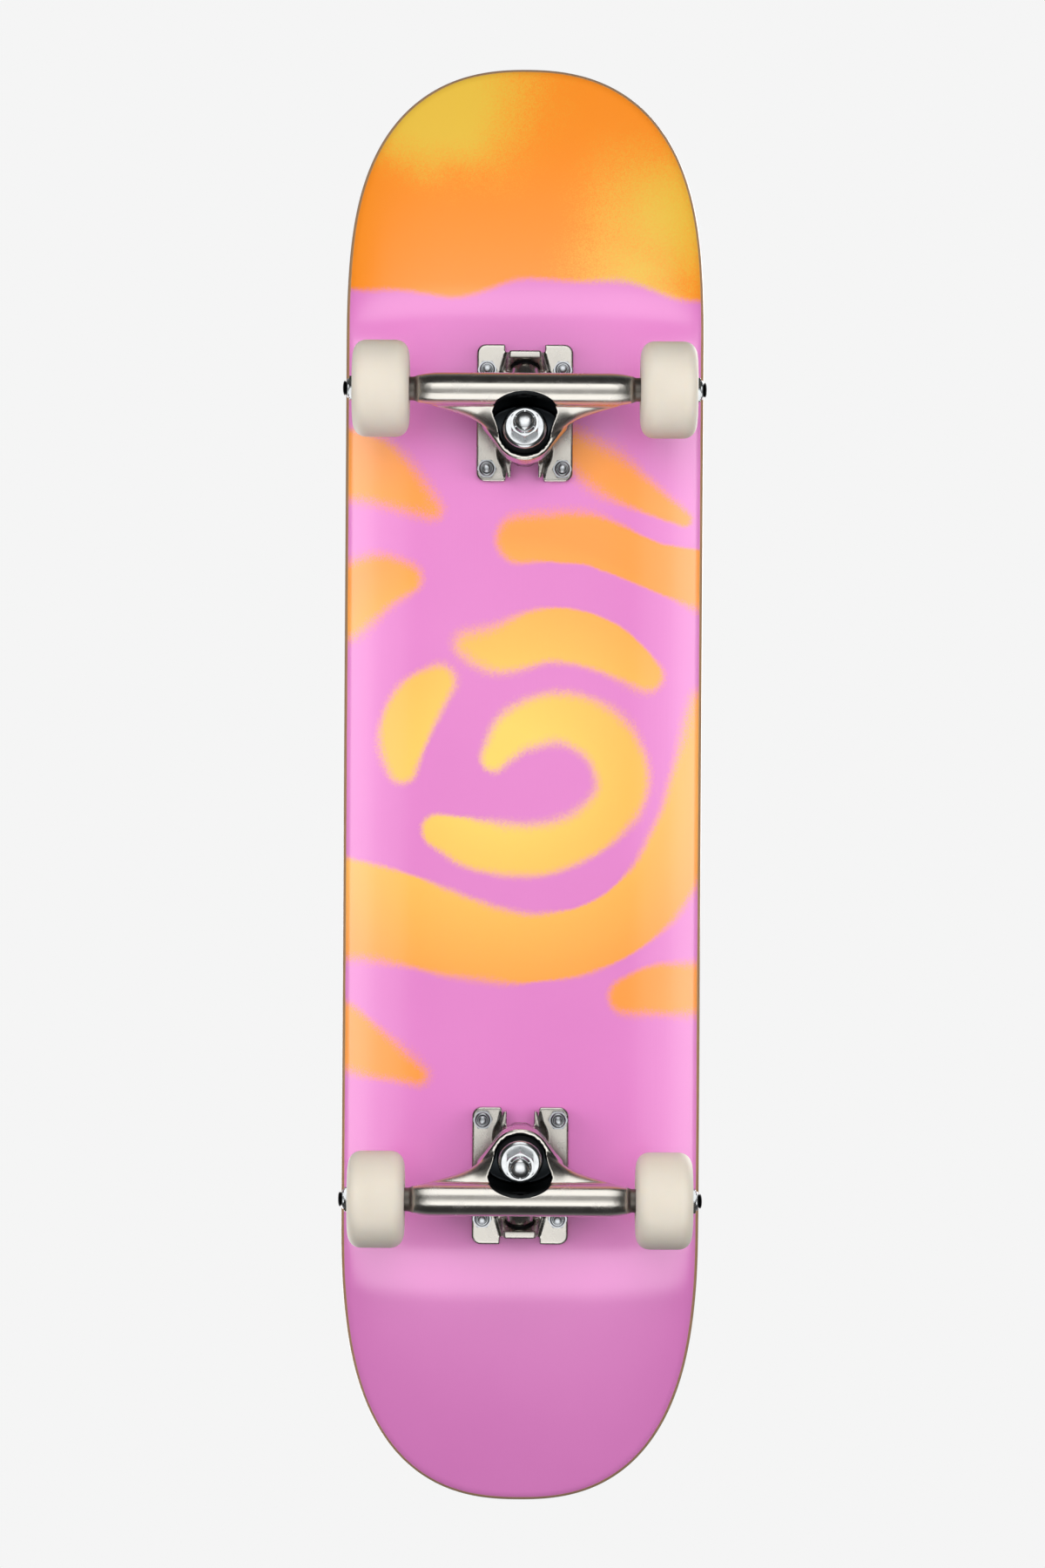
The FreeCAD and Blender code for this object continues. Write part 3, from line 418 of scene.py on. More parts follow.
def deckBlank():
    place, normal = deckOutline()
    rows = len(place)
    verts, faces, inset = [], [], []

    def ringPoint(row, depth, height, side):
        x, y = place[row] - normal[row] * depth
        verts.append((x, side * max(y, 0.0), height))
        inset.append(depth)
        return len(verts) - 1

    profile = edgeProfile()
    rings = []
    for depth, height in profile:
        left = [ringPoint(row, depth, height, 1) for row in range(rows)]
        right = [left[0]] + [ringPoint(row, depth, height, -1) for row in range(1, rows - 1)] + [left[-1]]
        rings.append((left, right))
    for (left, right), (leftNext, rightNext) in zip(rings[:-1], rings[1:]):
        for row in range(rows - 1):
            faces.append((left[row], leftNext[row], leftNext[row + 1], left[row + 1]))
            faces.append((right[row], right[row + 1], rightNext[row + 1], rightNext[row]))

    def fill(left, right, height, columns, turned):
        grid = [[left[0]] * (columns + 1)]
        for row in range(1, rows - 1):
            x, halfWidth, _ = verts[left[row]]
            line = [left[row]]
            for c in range(1, columns):
                y = halfWidth * (1 - 2 * c / columns)
                verts.append((x, y, height))
                inset.append(min(halfWidth - abs(y), 200.0) + deck["rimWidth"])
                line.append(len(verts) - 1)
            grid.append(line + [right[row]])
        grid.append([left[-1]] * (columns + 1))
        for near, far in zip(grid[:-1], grid[1:]):
            for c in range(columns):
                corners = [near[c], far[c], far[c + 1], near[c + 1]]
                corners = [v for k, v in enumerate(corners) if v not in corners[:k]]
                if len(corners) > 2:
                    faces.append(tuple(corners[::-1] if turned else corners))

    fill(*rings[0], profile[0][1], deck["columns"], False)
    fill(*rings[-1], profile[-1][1], deck["topColumns"], True)
    return np.array(verts), faces, np.array(inset)


# The print: airbrushed strokes over a pink ground, with a warm nose. Stroke points are (x, y, radius).
artwork = {
    "noseEdge": 273.0,
    "noseWaves": ((5.0, 150.0, 0.6), (2.0, 62.0, 2.0)),   # height, length and phase of each wave
    "noseMist": ((386, -48, 44), (314, 78, 30), (282, 60, 22)),
    "strokes": (
        ((176, -102, 20), (172, -84, 18), (160, -64, 11), (150, -50, 5)),
        ((146, 88, 4), (158, 66, 9), (172, 44, 12), (186, 24, 9)),
        ((112, 102, 17), (120, 72, 13), (134, 36, 14), (134, -2, 13)),
        ((98, -102, 20), (110, -80, 15), (112, -64, 8)),
        ((60, 68, 9), (76, 44, 14), (82, 14, 15), (74, -12, 13), (76, -30, 7)),
        ((56, -46, 9), (44, -58, 14), (24, -66, 13), (8, -66, 8)),
        ((14, -16, 7), (30, -2, 12), (36, 24, 14), (22, 48, 15), (-4, 54, 14), (-26, 36, 13), (-36, 8, 14),
         (-34, -22, 14), (-26, -46, 9)),
        ((44, 100, 8), (8, 96, 13), (-30, 88, 17), (-62, 70, 18), (-84, 38, 18), (-90, 2, 19), (-84, -34, 22),
         (-74, -68, 25), (-68, -102, 28)),
        ((-112, 102, 14), (-112, 78, 14), (-116, 58, 10)),
        ((-138, -102, 18), (-150, -78, 12), (-160, -56, 5)),
    ),
    "glowCentre": (6, -12),
    "glowReach": 105.0,
}


def strokeDistance(points, stroke):
    # distance in mm to a stroke's edge, with its points joined by a smooth curve
    samples = np.array([curvePoint(stroke, k, t)
                        for k in range(len(stroke) - 1) for t in np.linspace(0, 1, 14)])
    gap = np.linalg.norm(points[:, None, :2] - samples[None, :, :2], axis=2) - samples[None, :, 2]
    return gap.min(axis=1)


def paintFields(points):
    near = np.min([strokeDistance(points, stroke) for stroke in artwork["strokes"]], axis=0)
    edge = artwork["noseEdge"] + sum(
        height * np.sin(2 * math.pi * points[:, 1] / length + phase)
        for height, length, phase in artwork["noseWaves"]
    )
    plan = points[:, :2]
    mist = np.min([np.linalg.norm(plan - (x, y), axis=1) - r for x, y, r in artwork["noseMist"]], axis=0)
    reach = np.linalg.norm(plan - artwork["glowCentre"], axis=1) / artwork["glowReach"]
    return {
        "sprayDistance": near,
        "noseDistance": edge - points[:, 0],
        "mistDistance": mist,
        "warmth": np.clip(1.25 - reach, 0, 1),
    }


def startTree(name, sockets, output):
    # an empty tree with named inputs; gives its node adder and its inputs' sockets
    tree = bpy.data.node_groups.new(name, "GeometryNodeTree")
    for label, kind in sockets:
        tree.interface.new_socket(label, in_out="INPUT", socket_type="NodeSocket" + kind)
    tree.interface.new_socket(output, in_out="OUTPUT", socket_type="NodeSocketGeometry")
    add = nodeAdder(tree)
    return tree, add, add("NodeGroupInput").outputs


def endTree(add, geometry, material, output):
    solid = add("GeometryNodeRealizeInstances", {"Geometry": geometry})
    solid = add("GeometryNodeSetMaterial", {"Geometry": solid, "Material": material})
    add("NodeGroupOutput", {output: solid})


def pressTree():
    # height over the underside goes in as z; the press adds the concave and both kicks
    sizes = ("Flat Half Width", "Concave Radius", "Bend Radius", "Kick Angle", "Nose Bend", "Tail Bend",
             "Bottom")
    sockets = [("Blank", "Geometry")] + [(name, "Float") for name in sizes] + [("Material", "Material")]
    tree, add, size = startTree("pressDeck", sockets, "Pressed")
    position = add("GeometryNodeInputPosition")
    known = dict(zip(("x", "y", "height"), add("SeparateXYZ", {0: position}).outputs))
    known.update({name: size[name] for name in sizes})
    steps = (
        ("out", "ABSOLUTE", "y", 0.0),
        ("out", "SUBTRACT", "out", "Flat Half Width"),
        ("out", "MAXIMUM", "out", 0.0),
        ("reach", "SUBTRACT", "Concave Radius", "height"),
        ("reachSquared", "MULTIPLY", "reach", "reach"),
        ("outSquared", "MULTIPLY", "out", "out"),
        ("drop", "SUBTRACT", "reachSquared", "outSquared"),
        ("drop", "SQRT", "drop", 0.0),
        ("concave", "SUBTRACT", "Concave Radius", "drop"),
        ("pastNose", "SUBTRACT", "x", "Nose Bend"),
        ("pastTail", "SUBTRACT", "Tail Bend", "x"),
        ("past", "MAXIMUM", "pastNose", "pastTail"),
        ("past", "MAXIMUM", "past", 0.0),
        ("radius", "SUBTRACT", "Bend Radius", "concave"),
        ("bendEnd", "SINE", "Kick Angle", 0.0),
        ("bendEnd", "MULTIPLY", "bendEnd", "radius"),
        ("inBend", "MINIMUM", "past", "bendEnd"),
        ("beyond", "SUBTRACT", "past", "inBend"),
        ("rise", "TANGENT", "Kick Angle", 0.0),
        ("rise", "MULTIPLY", "rise", "beyond"),
        ("radiusSquared", "MULTIPLY", "radius", "radius"),
        ("bendSquared", "MULTIPLY", "inBend", "inBend"),
        ("left", "SUBTRACT", "radiusSquared", "bendSquared"),
        ("left", "SQRT", "left", 0.0),
        ("z", "SUBTRACT", "Bend Radius", "left"),
        ("z", "ADD", "z", "rise"),
        ("z", "ADD", "z", "Bottom"),
    )
    for result, operation, first, second in steps:
        known[result] = add("Math", {0: known[first], 1: known.get(second, second)}, operation=operation)
    moved = add("CombineXYZ", {0: known["x"], 1: known["y"], 2: known["z"]})
    pressed = add("GeometryNodeSetPosition", {"Geometry": size["Blank"], "Position": moved})
    endTree(add, pressed, size["Material"], "Pressed")
    return tree


def runNodes(piece, tree, values):
    modifier = piece.modifiers.new("nodes", "NODES")
    modifier.node_group = tree
    for item in tree.interface.items_tree:
        if item.in_out == "INPUT" and item.name in values:
            modifier[item.identifier] = values[item.name]
    bakeModifiers(piece)


def makeDeck():
    verts, faces, inset = deckBlank()
    piece = meshObject("pressedDeck", verts * mm, faces)
    fields = paintFields(verts)
    fields["plyHeight"] = verts[:, 2] / deck["plyThickness"]
    fields["rimInset"] = inset
    for name, values in fields.items():
        layer = piece.data.attributes.new(name, "FLOAT", "POINT")
        layer.data.foreach_set("value", values.astype(np.float32))
    runNodes(piece, pressTree(), {
        "Flat Half Width": deck["flatHalfWidth"] * mm,
        "Concave Radius": deck["concaveRadius"] * mm,
        "Bend Radius": deck["bendRadius"] * mm,
        "Kick Angle": math.radians(deck["kickAngle"]),
        "Nose Bend": deck["noseBend"] * mm,
        "Tail Bend": deck["tailBend"] * mm,
        "Bottom": board["deckBottom"] * mm,
        "Material": look["deck"],
    })
    smoothShade(piece)
    settle(piece, "board", "lacquered_maple", "deck")
    return piece


makeDeck()
print("deck pressed")


# Trucks, drawn in millimetres with +X outboard and the deck's underside at zero

truck = {
    "kingpinBase": -17.2,
    "kingpinTilt": 12.0,
    "kingpinRadius": 4.75,
    "kingpinHead": (3.0, 8.5),
    "nutStart": 50.0,
    "kingpinEnd": 62.0,
    "webStart": 34.5,
    "webEnd": 39.0,
    "webStations": (
        # place across the board, share of the way from ring to barrel, half thickness
        (12.0, 0.34, 3.0), (24.0, 0.66, 2.4), (33.0, 0.80, 2.4), (44.0, 0.91, 2.6), (55.0, 0.99, 3.0),
    ),
    "bossSeat": 17.2,
    "axleX": 12.7,
    "axleZ": -52.0,
    "hangerHalf": 64.25,
    "neckAt": 58.25,
    "barrelRadius": 8.8,
    "neckRadius": 7.2,
    "endRadius": 6.4,
    "taperLength": 13.0,
    "ringRadius": 16.6,
    "pocketRadius": 14.2,
    "ringLip": 3.2,
    "ringSkirt": 2.0,
    "pocketShoulder": (8.4, 18.0),
    "pocketDepth": 14.9,
    "pocketRounding": 12,
    "steeringAxis": Vector((0.906557, 0, 0.422083)),
    "steeringLength": 42.53,
    "armRadii": (12.5, 7.4),
    "noseRadius": 4.7,
    "axleRadius": 3.95,
    "wheelY": 77.25,
    "plateInner": -33.79,
    "notchLength": 8.5,
    "notchNear": 8.2,
    "notchFar": 11.0,
    "voxel": 0.5,
}
kingpinTilt = math.radians(truck["kingpinTilt"])
kingpinAxis = Vector((math.sin(kingpinTilt), 0, -math.cos(kingpinTilt)))
ringAxis = Vector((-kingpinAxis.z, 0, kingpinAxis.x))
kingpinBase = Vector((truck["kingpinBase"], 0, 0))
axleMiddle = Vector((truck["axleX"], 0, truck["axleZ"]))


def onKingpin(e, y, s):  # e outboard of the kingpin, y across, s along it from the deck
    return kingpinBase + kingpinAxis * s + ringAxis * e + Vector((0, y, 0))


ringMiddle = onKingpin(0, 0, (truck["webStart"] + truck["webEnd"]) / 2)


def pointing(origin, axis):  # what is drawn on +Z stands on origin and points along axis
    return Matrix.Translation(origin) @ Vector((0, 0, 1)).rotation_difference(axis).to_matrix().to_4x4()


def rod(radius, start, end, segments=64, farRadius=None):
    far = radius if farRadius is None else farRadius
    return lathe([(0, start), (radius, start), (far, end), (0, end)], segments)


def moved(shape, matrix):
    return [matrix @ Vector(v) for v in shape[0]], shape[1]


def joined(name, shapes, material=None):
    verts, faces = [], []
    for points, polygons in shapes:
        faces.extend(tuple(k + len(verts) for k in polygon) for polygon in polygons)
        verts.extend(Vector(p) * mm for p in points)
    piece = meshObject(name, verts, faces, material)
    tidyNormals(piece)
    return piece


def smoothPath(stations, count):
    spans = len(stations) - 1
    steps = [spans * k / count for k in range(count + 1)]
    return [curvePoint(stations, min(int(t), spans - 1), t - min(int(t), spans - 1)) for t in steps]


def barrelShape():
    r, taper = truck["barrelRadius"], truck["neckAt"] - truck["taperLength"]
    drop = r - truck["neckRadius"]
    half = [(r, 0.0), (r, taper)]
    half += [(r - drop * k * k / 36, taper + truck["taperLength"] * k / 6) for k in range(1, 7)]
    half += [(truck["endRadius"], truck["neckAt"]), (truck["endRadius"], truck["hangerHalf"]),
             (0.0, truck["hangerHalf"])]
    profile = [(radius, -y) for radius, y in half[::-1]] + half[1:]
    return moved(lathe(profile, 128), pointing(axleMiddle, Vector((0, 1, 0))))


def webShape(side):
    # from the ring out along the barrel, as stations of place across, edge's x and z, and half thickness
    ringEdge = ringMiddle - ringAxis * truck["ringRadius"]
    endX = truck["axleX"] - truck["neckRadius"]
    stations = []
    for y, share, thickness in truck["webStations"]:
        stations.append((y, ringEdge.x + (endX - ringEdge.x) * share,
                         ringEdge.z + (truck["axleZ"] - ringEdge.z) * share ** 6, thickness))
    sections = []
    for y, edgeX, edgeZ, half in smoothPath(stations, 30):
        edge = Vector((edgeX, side * y, edgeZ))
        back = Vector((truck["axleX"] - 5.0, side * y, truck["axleZ"] + 1.0))
        middle, reach = (edge + back) / 2, (edge - back) / 2
        across = Vector((reach.z, 0, -reach.x)).normalized() * half
        loop = []
        for k in range(40):
            turn = 2 * math.pi * k / 40
            loop.append(middle + reach * math.cos(turn) + across * math.sin(turn))
        sections.append(loop)
    return loft(sections)


def yokeShapes():
    low, high = truck["webStart"] - truck["ringSkirt"], truck["webEnd"] + truck["ringLip"]
    axle = axleMiddle - kingpinBase
    barrelS, barrelE = axle.dot(kingpinAxis), axle.dot(ringAxis)
    r = truck["barrelRadius"]
    stations = (
        (-0.62 * truck["ringRadius"], 0.78 * truck["ringRadius"], low, high),
        (-2.2, 18.6, low + 0.5, high),
        (3.2, 23.0, low + 1, high),
        (barrelE - 0.8 * r, 24.5, low + 2.5, barrelS - 4.5),
        (barrelE, 25.5, barrelS - r, barrelS - 1),
    )
    sections = []
    for e, half, bottom, top in stations:
        corners = ((half, bottom), (half, top), (-half, top), (-half, bottom))
        sections.append([onKingpin(e, y, s) for y, s in corners])
    return [loft([near, far]) for near, far in zip(sections[:-1], sections[1:])]


def hangerShapes():
    arm = pointing(ringMiddle, truck["steeringAxis"])
    length = truck["steeringLength"]
    shoulder = length - 3.1
    nose = [(0, shoulder - 1), (truck["noseRadius"], shoulder - 1)]
    nose += [(r, length + z) for r, z in arcPoints((0, 0), truck["noseRadius"], 0, 90, 12)]
    ring = rod(truck["ringRadius"], truck["webStart"] - truck["ringSkirt"],
               truck["webEnd"] + truck["ringLip"], 128)
    neckPoint = ringMiddle + truck["steeringAxis"] * length * 0.45
    neck = []
    for y in (-10, 10):
        back = Vector((truck["axleX"] + 5, y, truck["axleZ"]))
        edge = Vector((neckPoint.x, y, neckPoint.z))
        middle, reach = (edge + back) / 2, (edge - back) / 2
        across = Vector((reach.z, 0, -reach.x)).normalized() * 6.5
        neck.append([middle + reach * math.cos(t) + across * math.sin(t)
                     for t in (2 * math.pi * k / 32 for k in range(32))])
    return [
        barrelShape(), moved(ring, pointing(kingpinBase, kingpinAxis)),
        moved(rod(truck["armRadii"][0], 0.12 * length, shoulder, 96, truck["armRadii"][1]), arm),
        moved(lathe(nose, 64), arm), loft(neck), webShape(1), webShape(-1),
    ] + yokeShapes()


def pocketShape():
    # the open pocket that takes the road-side bushing, its washer and the nut
    reach = (truck["webEnd"], truck["webEnd"] + 60)
    sections = [[onKingpin(e, y, s) for e, y in pocketOutline()] for s in reach]
    return loft(sections)


def hangerCutters():
    alongAxle = pointing(axleMiddle - Vector((0, 90, 0)), Vector((0, 1, 0)))
    onPin = pointing(kingpinBase, kingpinAxis)
    return [
        pocketShape(),
        moved(rod(7.25, truck["webStart"] - 1, truck["webEnd"] + 1, 64), onPin),
        moved(rod(truck["pocketRadius"], truck["bossSeat"] - 5, truck["webStart"], 96), onPin),
        moved(rod(truck["axleRadius"] + 0.05, 0, 180, 48), alongAxle),
    ]


def remeshed(piece, voxel, passes, factor=0.5):
    remesh = piece.modifiers.new("skin", "REMESH")
    remesh.mode = "VOXEL"
    remesh.voxel_size = voxel * mm
    remesh.use_smooth_shade = True
    if passes:
        smooth = piece.modifiers.new("tumble", "SMOOTH")
        smooth.factor = factor
        smooth.iterations = passes
    return bakeModifiers(piece)


def carved(piece, cutters):
    for shape in cutters:
        cutter = joined("cutter", [shape])
        cut = piece.modifiers.new("cut", "BOOLEAN")
        cut.operation = "DIFFERENCE"
        cut.solver = "EXACT"
        cut.object = cutter
        bakeModifiers(piece)
        bpy.data.objects.remove(cutter)
    return piece


def pocketOutline():
    # plan of the pocket in the ring's plane, as (e, y)
    e, y = truck["pocketShoulder"]
    depth = truck["pocketDepth"]
    rise = depth - e
    radius = (y * y + rise * rise) / (2 * rise)
    spread = math.degrees(math.asin(y / radius))
    outline = arcPoints((0, 0), truck["pocketRadius"], 90, 270, 40)
    outline = np.array(outline + arcPoints((depth - radius, 0), radius, -spread, spread, 30))
    # round its corners: points at an even pitch, each then averaged with its neighbours
    closed = np.vstack([outline, outline[:1]])
    along = np.concatenate([[0], np.cumsum(np.linalg.norm(np.diff(closed, axis=0), axis=1))])
    even = np.linspace(0, along[-1], 120, endpoint=False)
    outline = np.column_stack([np.interp(even, along, closed[:, k]) for k in (0, 1)])
    for _ in range(truck["pocketRounding"]):
        outline = (np.roll(outline, 1, axis=0) + 2 * outline + np.roll(outline, -1, axis=0)) / 4
    return [tuple(point) for point in outline]


def paintPocketShade(piece):
    # depthIn: mm inside the pocket's plan, so that the painted shade ends in a clean line at its edge
    count = len(piece.data.vertices)
    flat = np.empty(count * 3)
    piece.data.vertices.foreach_get("co", flat)
    local = flat.reshape(-1, 3) / mm - np.array(kingpinBase)
    plan = np.column_stack([local @ np.array(ringAxis), local[:, 1]])
    deep = local @ np.array(kingpinAxis)
    outline = np.array(pocketOutline())
    nearest = np.full(count, 1e9)
    inside = np.zeros(count, bool)
    for a, b in zip(outline, np.roll(outline, -1, axis=0)):
        run = b - a
        share = np.clip(((plan - a) @ run) / (run @ run), 0, 1)
        nearest = np.minimum(nearest, np.linalg.norm(plan - a - share[:, None] * run, axis=1))
        crosses = (a[1] > plan[:, 1]) != (b[1] > plan[:, 1])
        if b[1] != a[1]:
            inside ^= crosses & (plan[:, 0] < a[0] + (plan[:, 1] - a[1]) * run[0] / run[1])
    depthIn = np.where(inside, nearest, -nearest)
    depthIn = np.where(deep < truck["webStart"] - truck["ringSkirt"] - 0.3, -9.0, depthIn)
    layer = piece.data.attributes.new("depthIn", "FLOAT", "POINT")
    layer.data.foreach_set("value", depthIn.astype(np.float32))


def placed(piece, name, matrix):
    # a copy of a truck piece, moved to its end of the board
    copy = addObject(name, piece.data.copy())
    inMetres = matrix.copy()
    inMetres.translation *= mm
    copy.data.transform(inMetres)
    return copy


def setOut(model, label, material, body, slot, nodeName):
    # a piece for each end of the board, from a model in the truck's own frame
    for end, matrix in truckEnds.items():
        piece = placed(model, end + label, matrix)
        piece.data.materials.clear()
        piece.data.materials.append(look[material])
        settle(piece, body if body == "board" else end + body, slot, end + nodeName)
    bpy.data.objects.remove(model)
    print(label, "made:", len(piece.data.polygons), "faces each")


def makeHangers():
    body = joined("hangerCore", hangerShapes())
    remeshed(body, truck["voxel"], 14)
    carved(body, hangerCutters())
    remeshed(body, truck["voxel"], 2)
    paintPocketShade(body)
    setOut(body, "CastHanger", "polishedCast", "_axle_body", "cast_aluminium", "_hanger")


def mergedCopy(nodeName, name):
    # a CAD node's triangles, joined into one skin
    piece = addObject(name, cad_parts[nodeName].data.copy())
    work = bmesh.new()
    work.from_mesh(piece.data)
    bmesh.ops.remove_doubles(work, verts=work.verts, dist=1e-6)
    work.to_mesh(piece.data)
    work.free()
    return piece


def makeBaseplates():
    # the notch at the plate's inner end widens with the pattern's draft
    inner, length, near, far = (truck[key] for key in ("plateInner", "notchLength", "notchNear", "notchFar"))
    for end, matrix in truckEnds.items():
        piece = mergedCopy(f"{end}_baseplate", f"{end}CastBaseplate")
        notch = [[Vector((inner + x, y, -z)) for y, z in ((half, -1), (half, 12), (-half, 12), (-half, -1))]
                 for x, half in ((length, near), (-1.0, far))]
        carved(piece, [moved(loft(notch), matrix)])
        remeshed(piece, truck["voxel"], 4)
        piece.data.materials.clear()
        piece.data.materials.append(look["satinCast"])
        settle(piece, "board", "cast_aluminium", f"{end}_baseplate")
    print("baseplates cast:", len(piece.data.polygons), "faces each")


makeHangers()
makeBaseplates()


# Nuts, bolts and pins

fastener = {
    "mountingNut": {"flats": 9.5, "height": 5.6, "bore": 2.43, "collar": 4.0},
    "kingpinNut": {"flats": 14.3, "height": 9.8, "bore": 4.78, "collar": 6.2},
    "axleNut": {"flats": 12.7, "height": 5.2, "bore": 3.98, "collar": 5.3},
    "segments": 144,
    "collarShare": 0.24,
    "cornerRound": 0.985,
    "pitch": 1.06,            # the kingpin's and the axle's thread
    "boltTop": 89.4,
    "boltLength": 25.4,
    "boltRadius": 2.4,
    "boltPitch": 0.8,
    "boltShank": 8.0,         # plain length under the bolt's head
    "nutDepth": 4.65,         # the plate's thickness between deck and nut
    "axleThread": 11.0,
    "axleHalf": 97.65,
}


def nutShape(size, notched=False):
    flats, height, bore, collar = (size[key] for key in ("flats", "height", "bore", "collar"))
    corner = flats / math.sqrt(3)
    hexTop = height * (1 - fastener["collarShare"])
    chamfer = 0.6 * (corner - flats / 2)
    crown = height - hexTop
    profile = [
        (bore + 0.35, 0), (corner - chamfer, 0), (corner - 0.4 * chamfer, 0.35 * chamfer), (corner, chamfer),
        (corner, hexTop - chamfer), (corner - 0.4 * chamfer, hexTop - 0.35 * chamfer),
        (corner - chamfer, hexTop),
        (collar + 0.15, hexTop), (collar, hexTop + 0.15), (collar, hexTop + 0.55 * crown),
        (collar - 0.15, height - 0.35), (collar - 0.45, height - 0.1), (collar - 0.8, height),
        (bore + 0.55, height), (bore + 0.1, height - 0.25), (bore, height - 0.7), (bore, 0.35),
    ]

    def hexed(r, h, angle):
        within = (math.degrees(angle) + 30) % 60 - 30
        flat = flats / 2 / math.cos(math.radians(within))
        r = min(r, flat, corner * fastener["cornerRound"])
        if notched and abs((math.degrees(angle) % 60) - 30) < 3.0 and r < collar + 0.05:
            h = min(h, hexTop + 0.35 * crown)
        return r, h

    return lathe(profile, fastener["segments"], hexed)


def threadedRod(radius, start, end, threadFrom, pitch, segments=48, dome=0.5):
    # a plain shank from start, then a rolled thread up to a domed tip; with no start, both ends have one
    rows = [(radius, threadFrom)]
    z = threadFrom
    depth = 0.54 * pitch
    while z < end - dome:
        rows.append((radius, z))
        z += pitch / 6
    tip = [(radius * math.cos(t) * 0.93, end - dome + dome * math.sin(t))
           for t in (math.radians(a) for a in (0, 20, 40, 60, 75, 90))]
    nearEnd = [(r, -h) for r, h in (rows + tip)[::-1]] if start is None else [(0, start), (radius, start)]
    profile = nearEnd + rows + tip

    def rolled(r, h, angle):
        if abs(h) <= threadFrom or r < radius * 0.99:
            return r, h
        phase = (h / pitch - angle / (2 * math.pi)) % 1
        fade = min(1, (abs(h) - threadFrom) / pitch, max(0, (end - dome - abs(h))) / (0.6 * pitch))
        return r - depth * fade * (1 - abs(2 * phase - 1)), h

    return lathe(profile, segments, rolled)


def patternTree():
    # one fastener set down on every hole of both bolt patterns
    sockets = [("Geometry", "Geometry"), ("Fastener", "Object"), ("Material", "Material")]
    sockets[2:2] = [(name, "Float") for name in ("Along", "Across", "Front", "Rear", "Height")]
    tree, add, size = startTree("boltPattern", sockets, "Set")
    both = add("GeometryNodeJoinGeometry")
    for name in ("Front", "Rear"):
        holes = add("GeometryNodeMeshGrid", {"Size X": size["Along"], "Size Y": size["Across"],
                                             "Vertices X": 2, "Vertices Y": 2})
        middle = add("CombineXYZ", {0: size[name], 2: size["Height"]})
        holes = add("GeometryNodeTransform", {"Geometry": holes, "Translation": middle})
        tree.links.new(holes.outputs[0], both.inputs[0])
    model = add("GeometryNodeObjectInfo", {"Object": size["Fastener"]}).outputs["Geometry"]
    copies = add("GeometryNodeInstanceOnPoints", {"Points": both, "Instance": model})
    endTree(add, copies, size["Material"], "Set")
    return tree


def makeMounting():
    tree = patternTree()
    down = Matrix.Rotation(math.pi, 4, "X")
    radius, length = fastener["boltRadius"], fastener["boltLength"]
    shank = length - 2.0
    thread = threadedRod(radius, 0, shank, fastener["boltShank"], fastener["boltPitch"], 36, 0.6)
    boltShape = moved(thread, Matrix.Translation((0, 0, shank)) @ down)
    head = lathe([(0, length - 2.8), (radius, length - 2.8), (4.5, length - 0.3), (4.6, length),
                  (1.2, length), (1.0, length - 1.3), (0, length - 1.3)], 48)
    nut = moved(nutShape(fastener["mountingNut"]), down)
    sets = (
        ("mountingBoltSet", [boltShape, head], fastener["boltTop"] - length, "mounting_bolts"),
        ("mountingNutSet", [nut], board["deckBottom"] - fastener["nutDepth"], "mounting_nuts"),
    )
    for name, shapes, height, nodeName in sets:
        model = joined(name + "Model", shapes)
        smoothShade(model, 24)
        piece = meshObject(name, [], [])
        runNodes(piece, tree, {
            "Fastener": model, "Along": board["boltAlong"] * mm, "Across": board["boltAcross"] * mm,
            "Front": board["frontTruckX"] * mm, "Rear": board["rearTruckX"] * mm, "Height": height * mm,
            "Material": look["hardware"],
        })
        bpy.data.objects.remove(model)
        settle(piece, "board", "zinc_plated_steel", nodeName)


def makeKingpins():
    head = truck["kingpinHead"]
    pin = threadedRod(truck["kingpinRadius"], head[0], truck["kingpinEnd"], 47.0, fastener["pitch"], 72, 0.9)
    hexHead = nutShape({"flats": 11.4, "height": head[1] - head[0] + 1.6, "bore": 4.0, "collar": 5.2})
    toPin = pointing(kingpinBase, kingpinAxis)
    headPlace = toPin @ Matrix.Translation((0, 0, head[0]))
    model = joined("kingpinModel", [moved(pin, toPin), moved(hexHead, headPlace)])
    nutPlace = toPin @ Matrix.Translation((0, 0, truck["nutStart"])) @ Matrix.Rotation(math.pi / 2, 4, "Z")
    nutModel = joined("kingpinNutModel", [moved(nutShape(fastener["kingpinNut"], True), nutPlace)])
    for part, label, nodeName in ((model, "Kingpin", "_kingpin"), (nutModel, "KingpinNut", "_kingpin_nut")):
        smoothShade(part, 24)
        setOut(part, label, "zinc", "board", "zinc_plated_steel", nodeName)


def makeAxles():
    half = fastener["axleHalf"]
    threadFrom = half - fastener["axleThread"]
    bar = threadedRod(truck["axleRadius"], None, half, threadFrom, fastener["pitch"], 48, 0.7)
    model = joined("axleModel", [moved(bar, pointing(axleMiddle, Vector((0, 1, 0))))])
    smoothShade(model, 32)
    setOut(model, "Axle", "blackOxide", "_axle_body", "machined_steel", "_axle")


makeMounting()
makeKingpins()
makeAxles()
print("fasteners made")


# Wheels

wheel = {
    "radius": 26.0,
    "halfWidth": 15.25,
    "treadHalf": 7.2,
    "sideRadius": 16.9,
    "seatRadius": 11.02,
    "hubBore": 9.4,
    "spacerHalf": 5.0,
    "segments": 160,
}


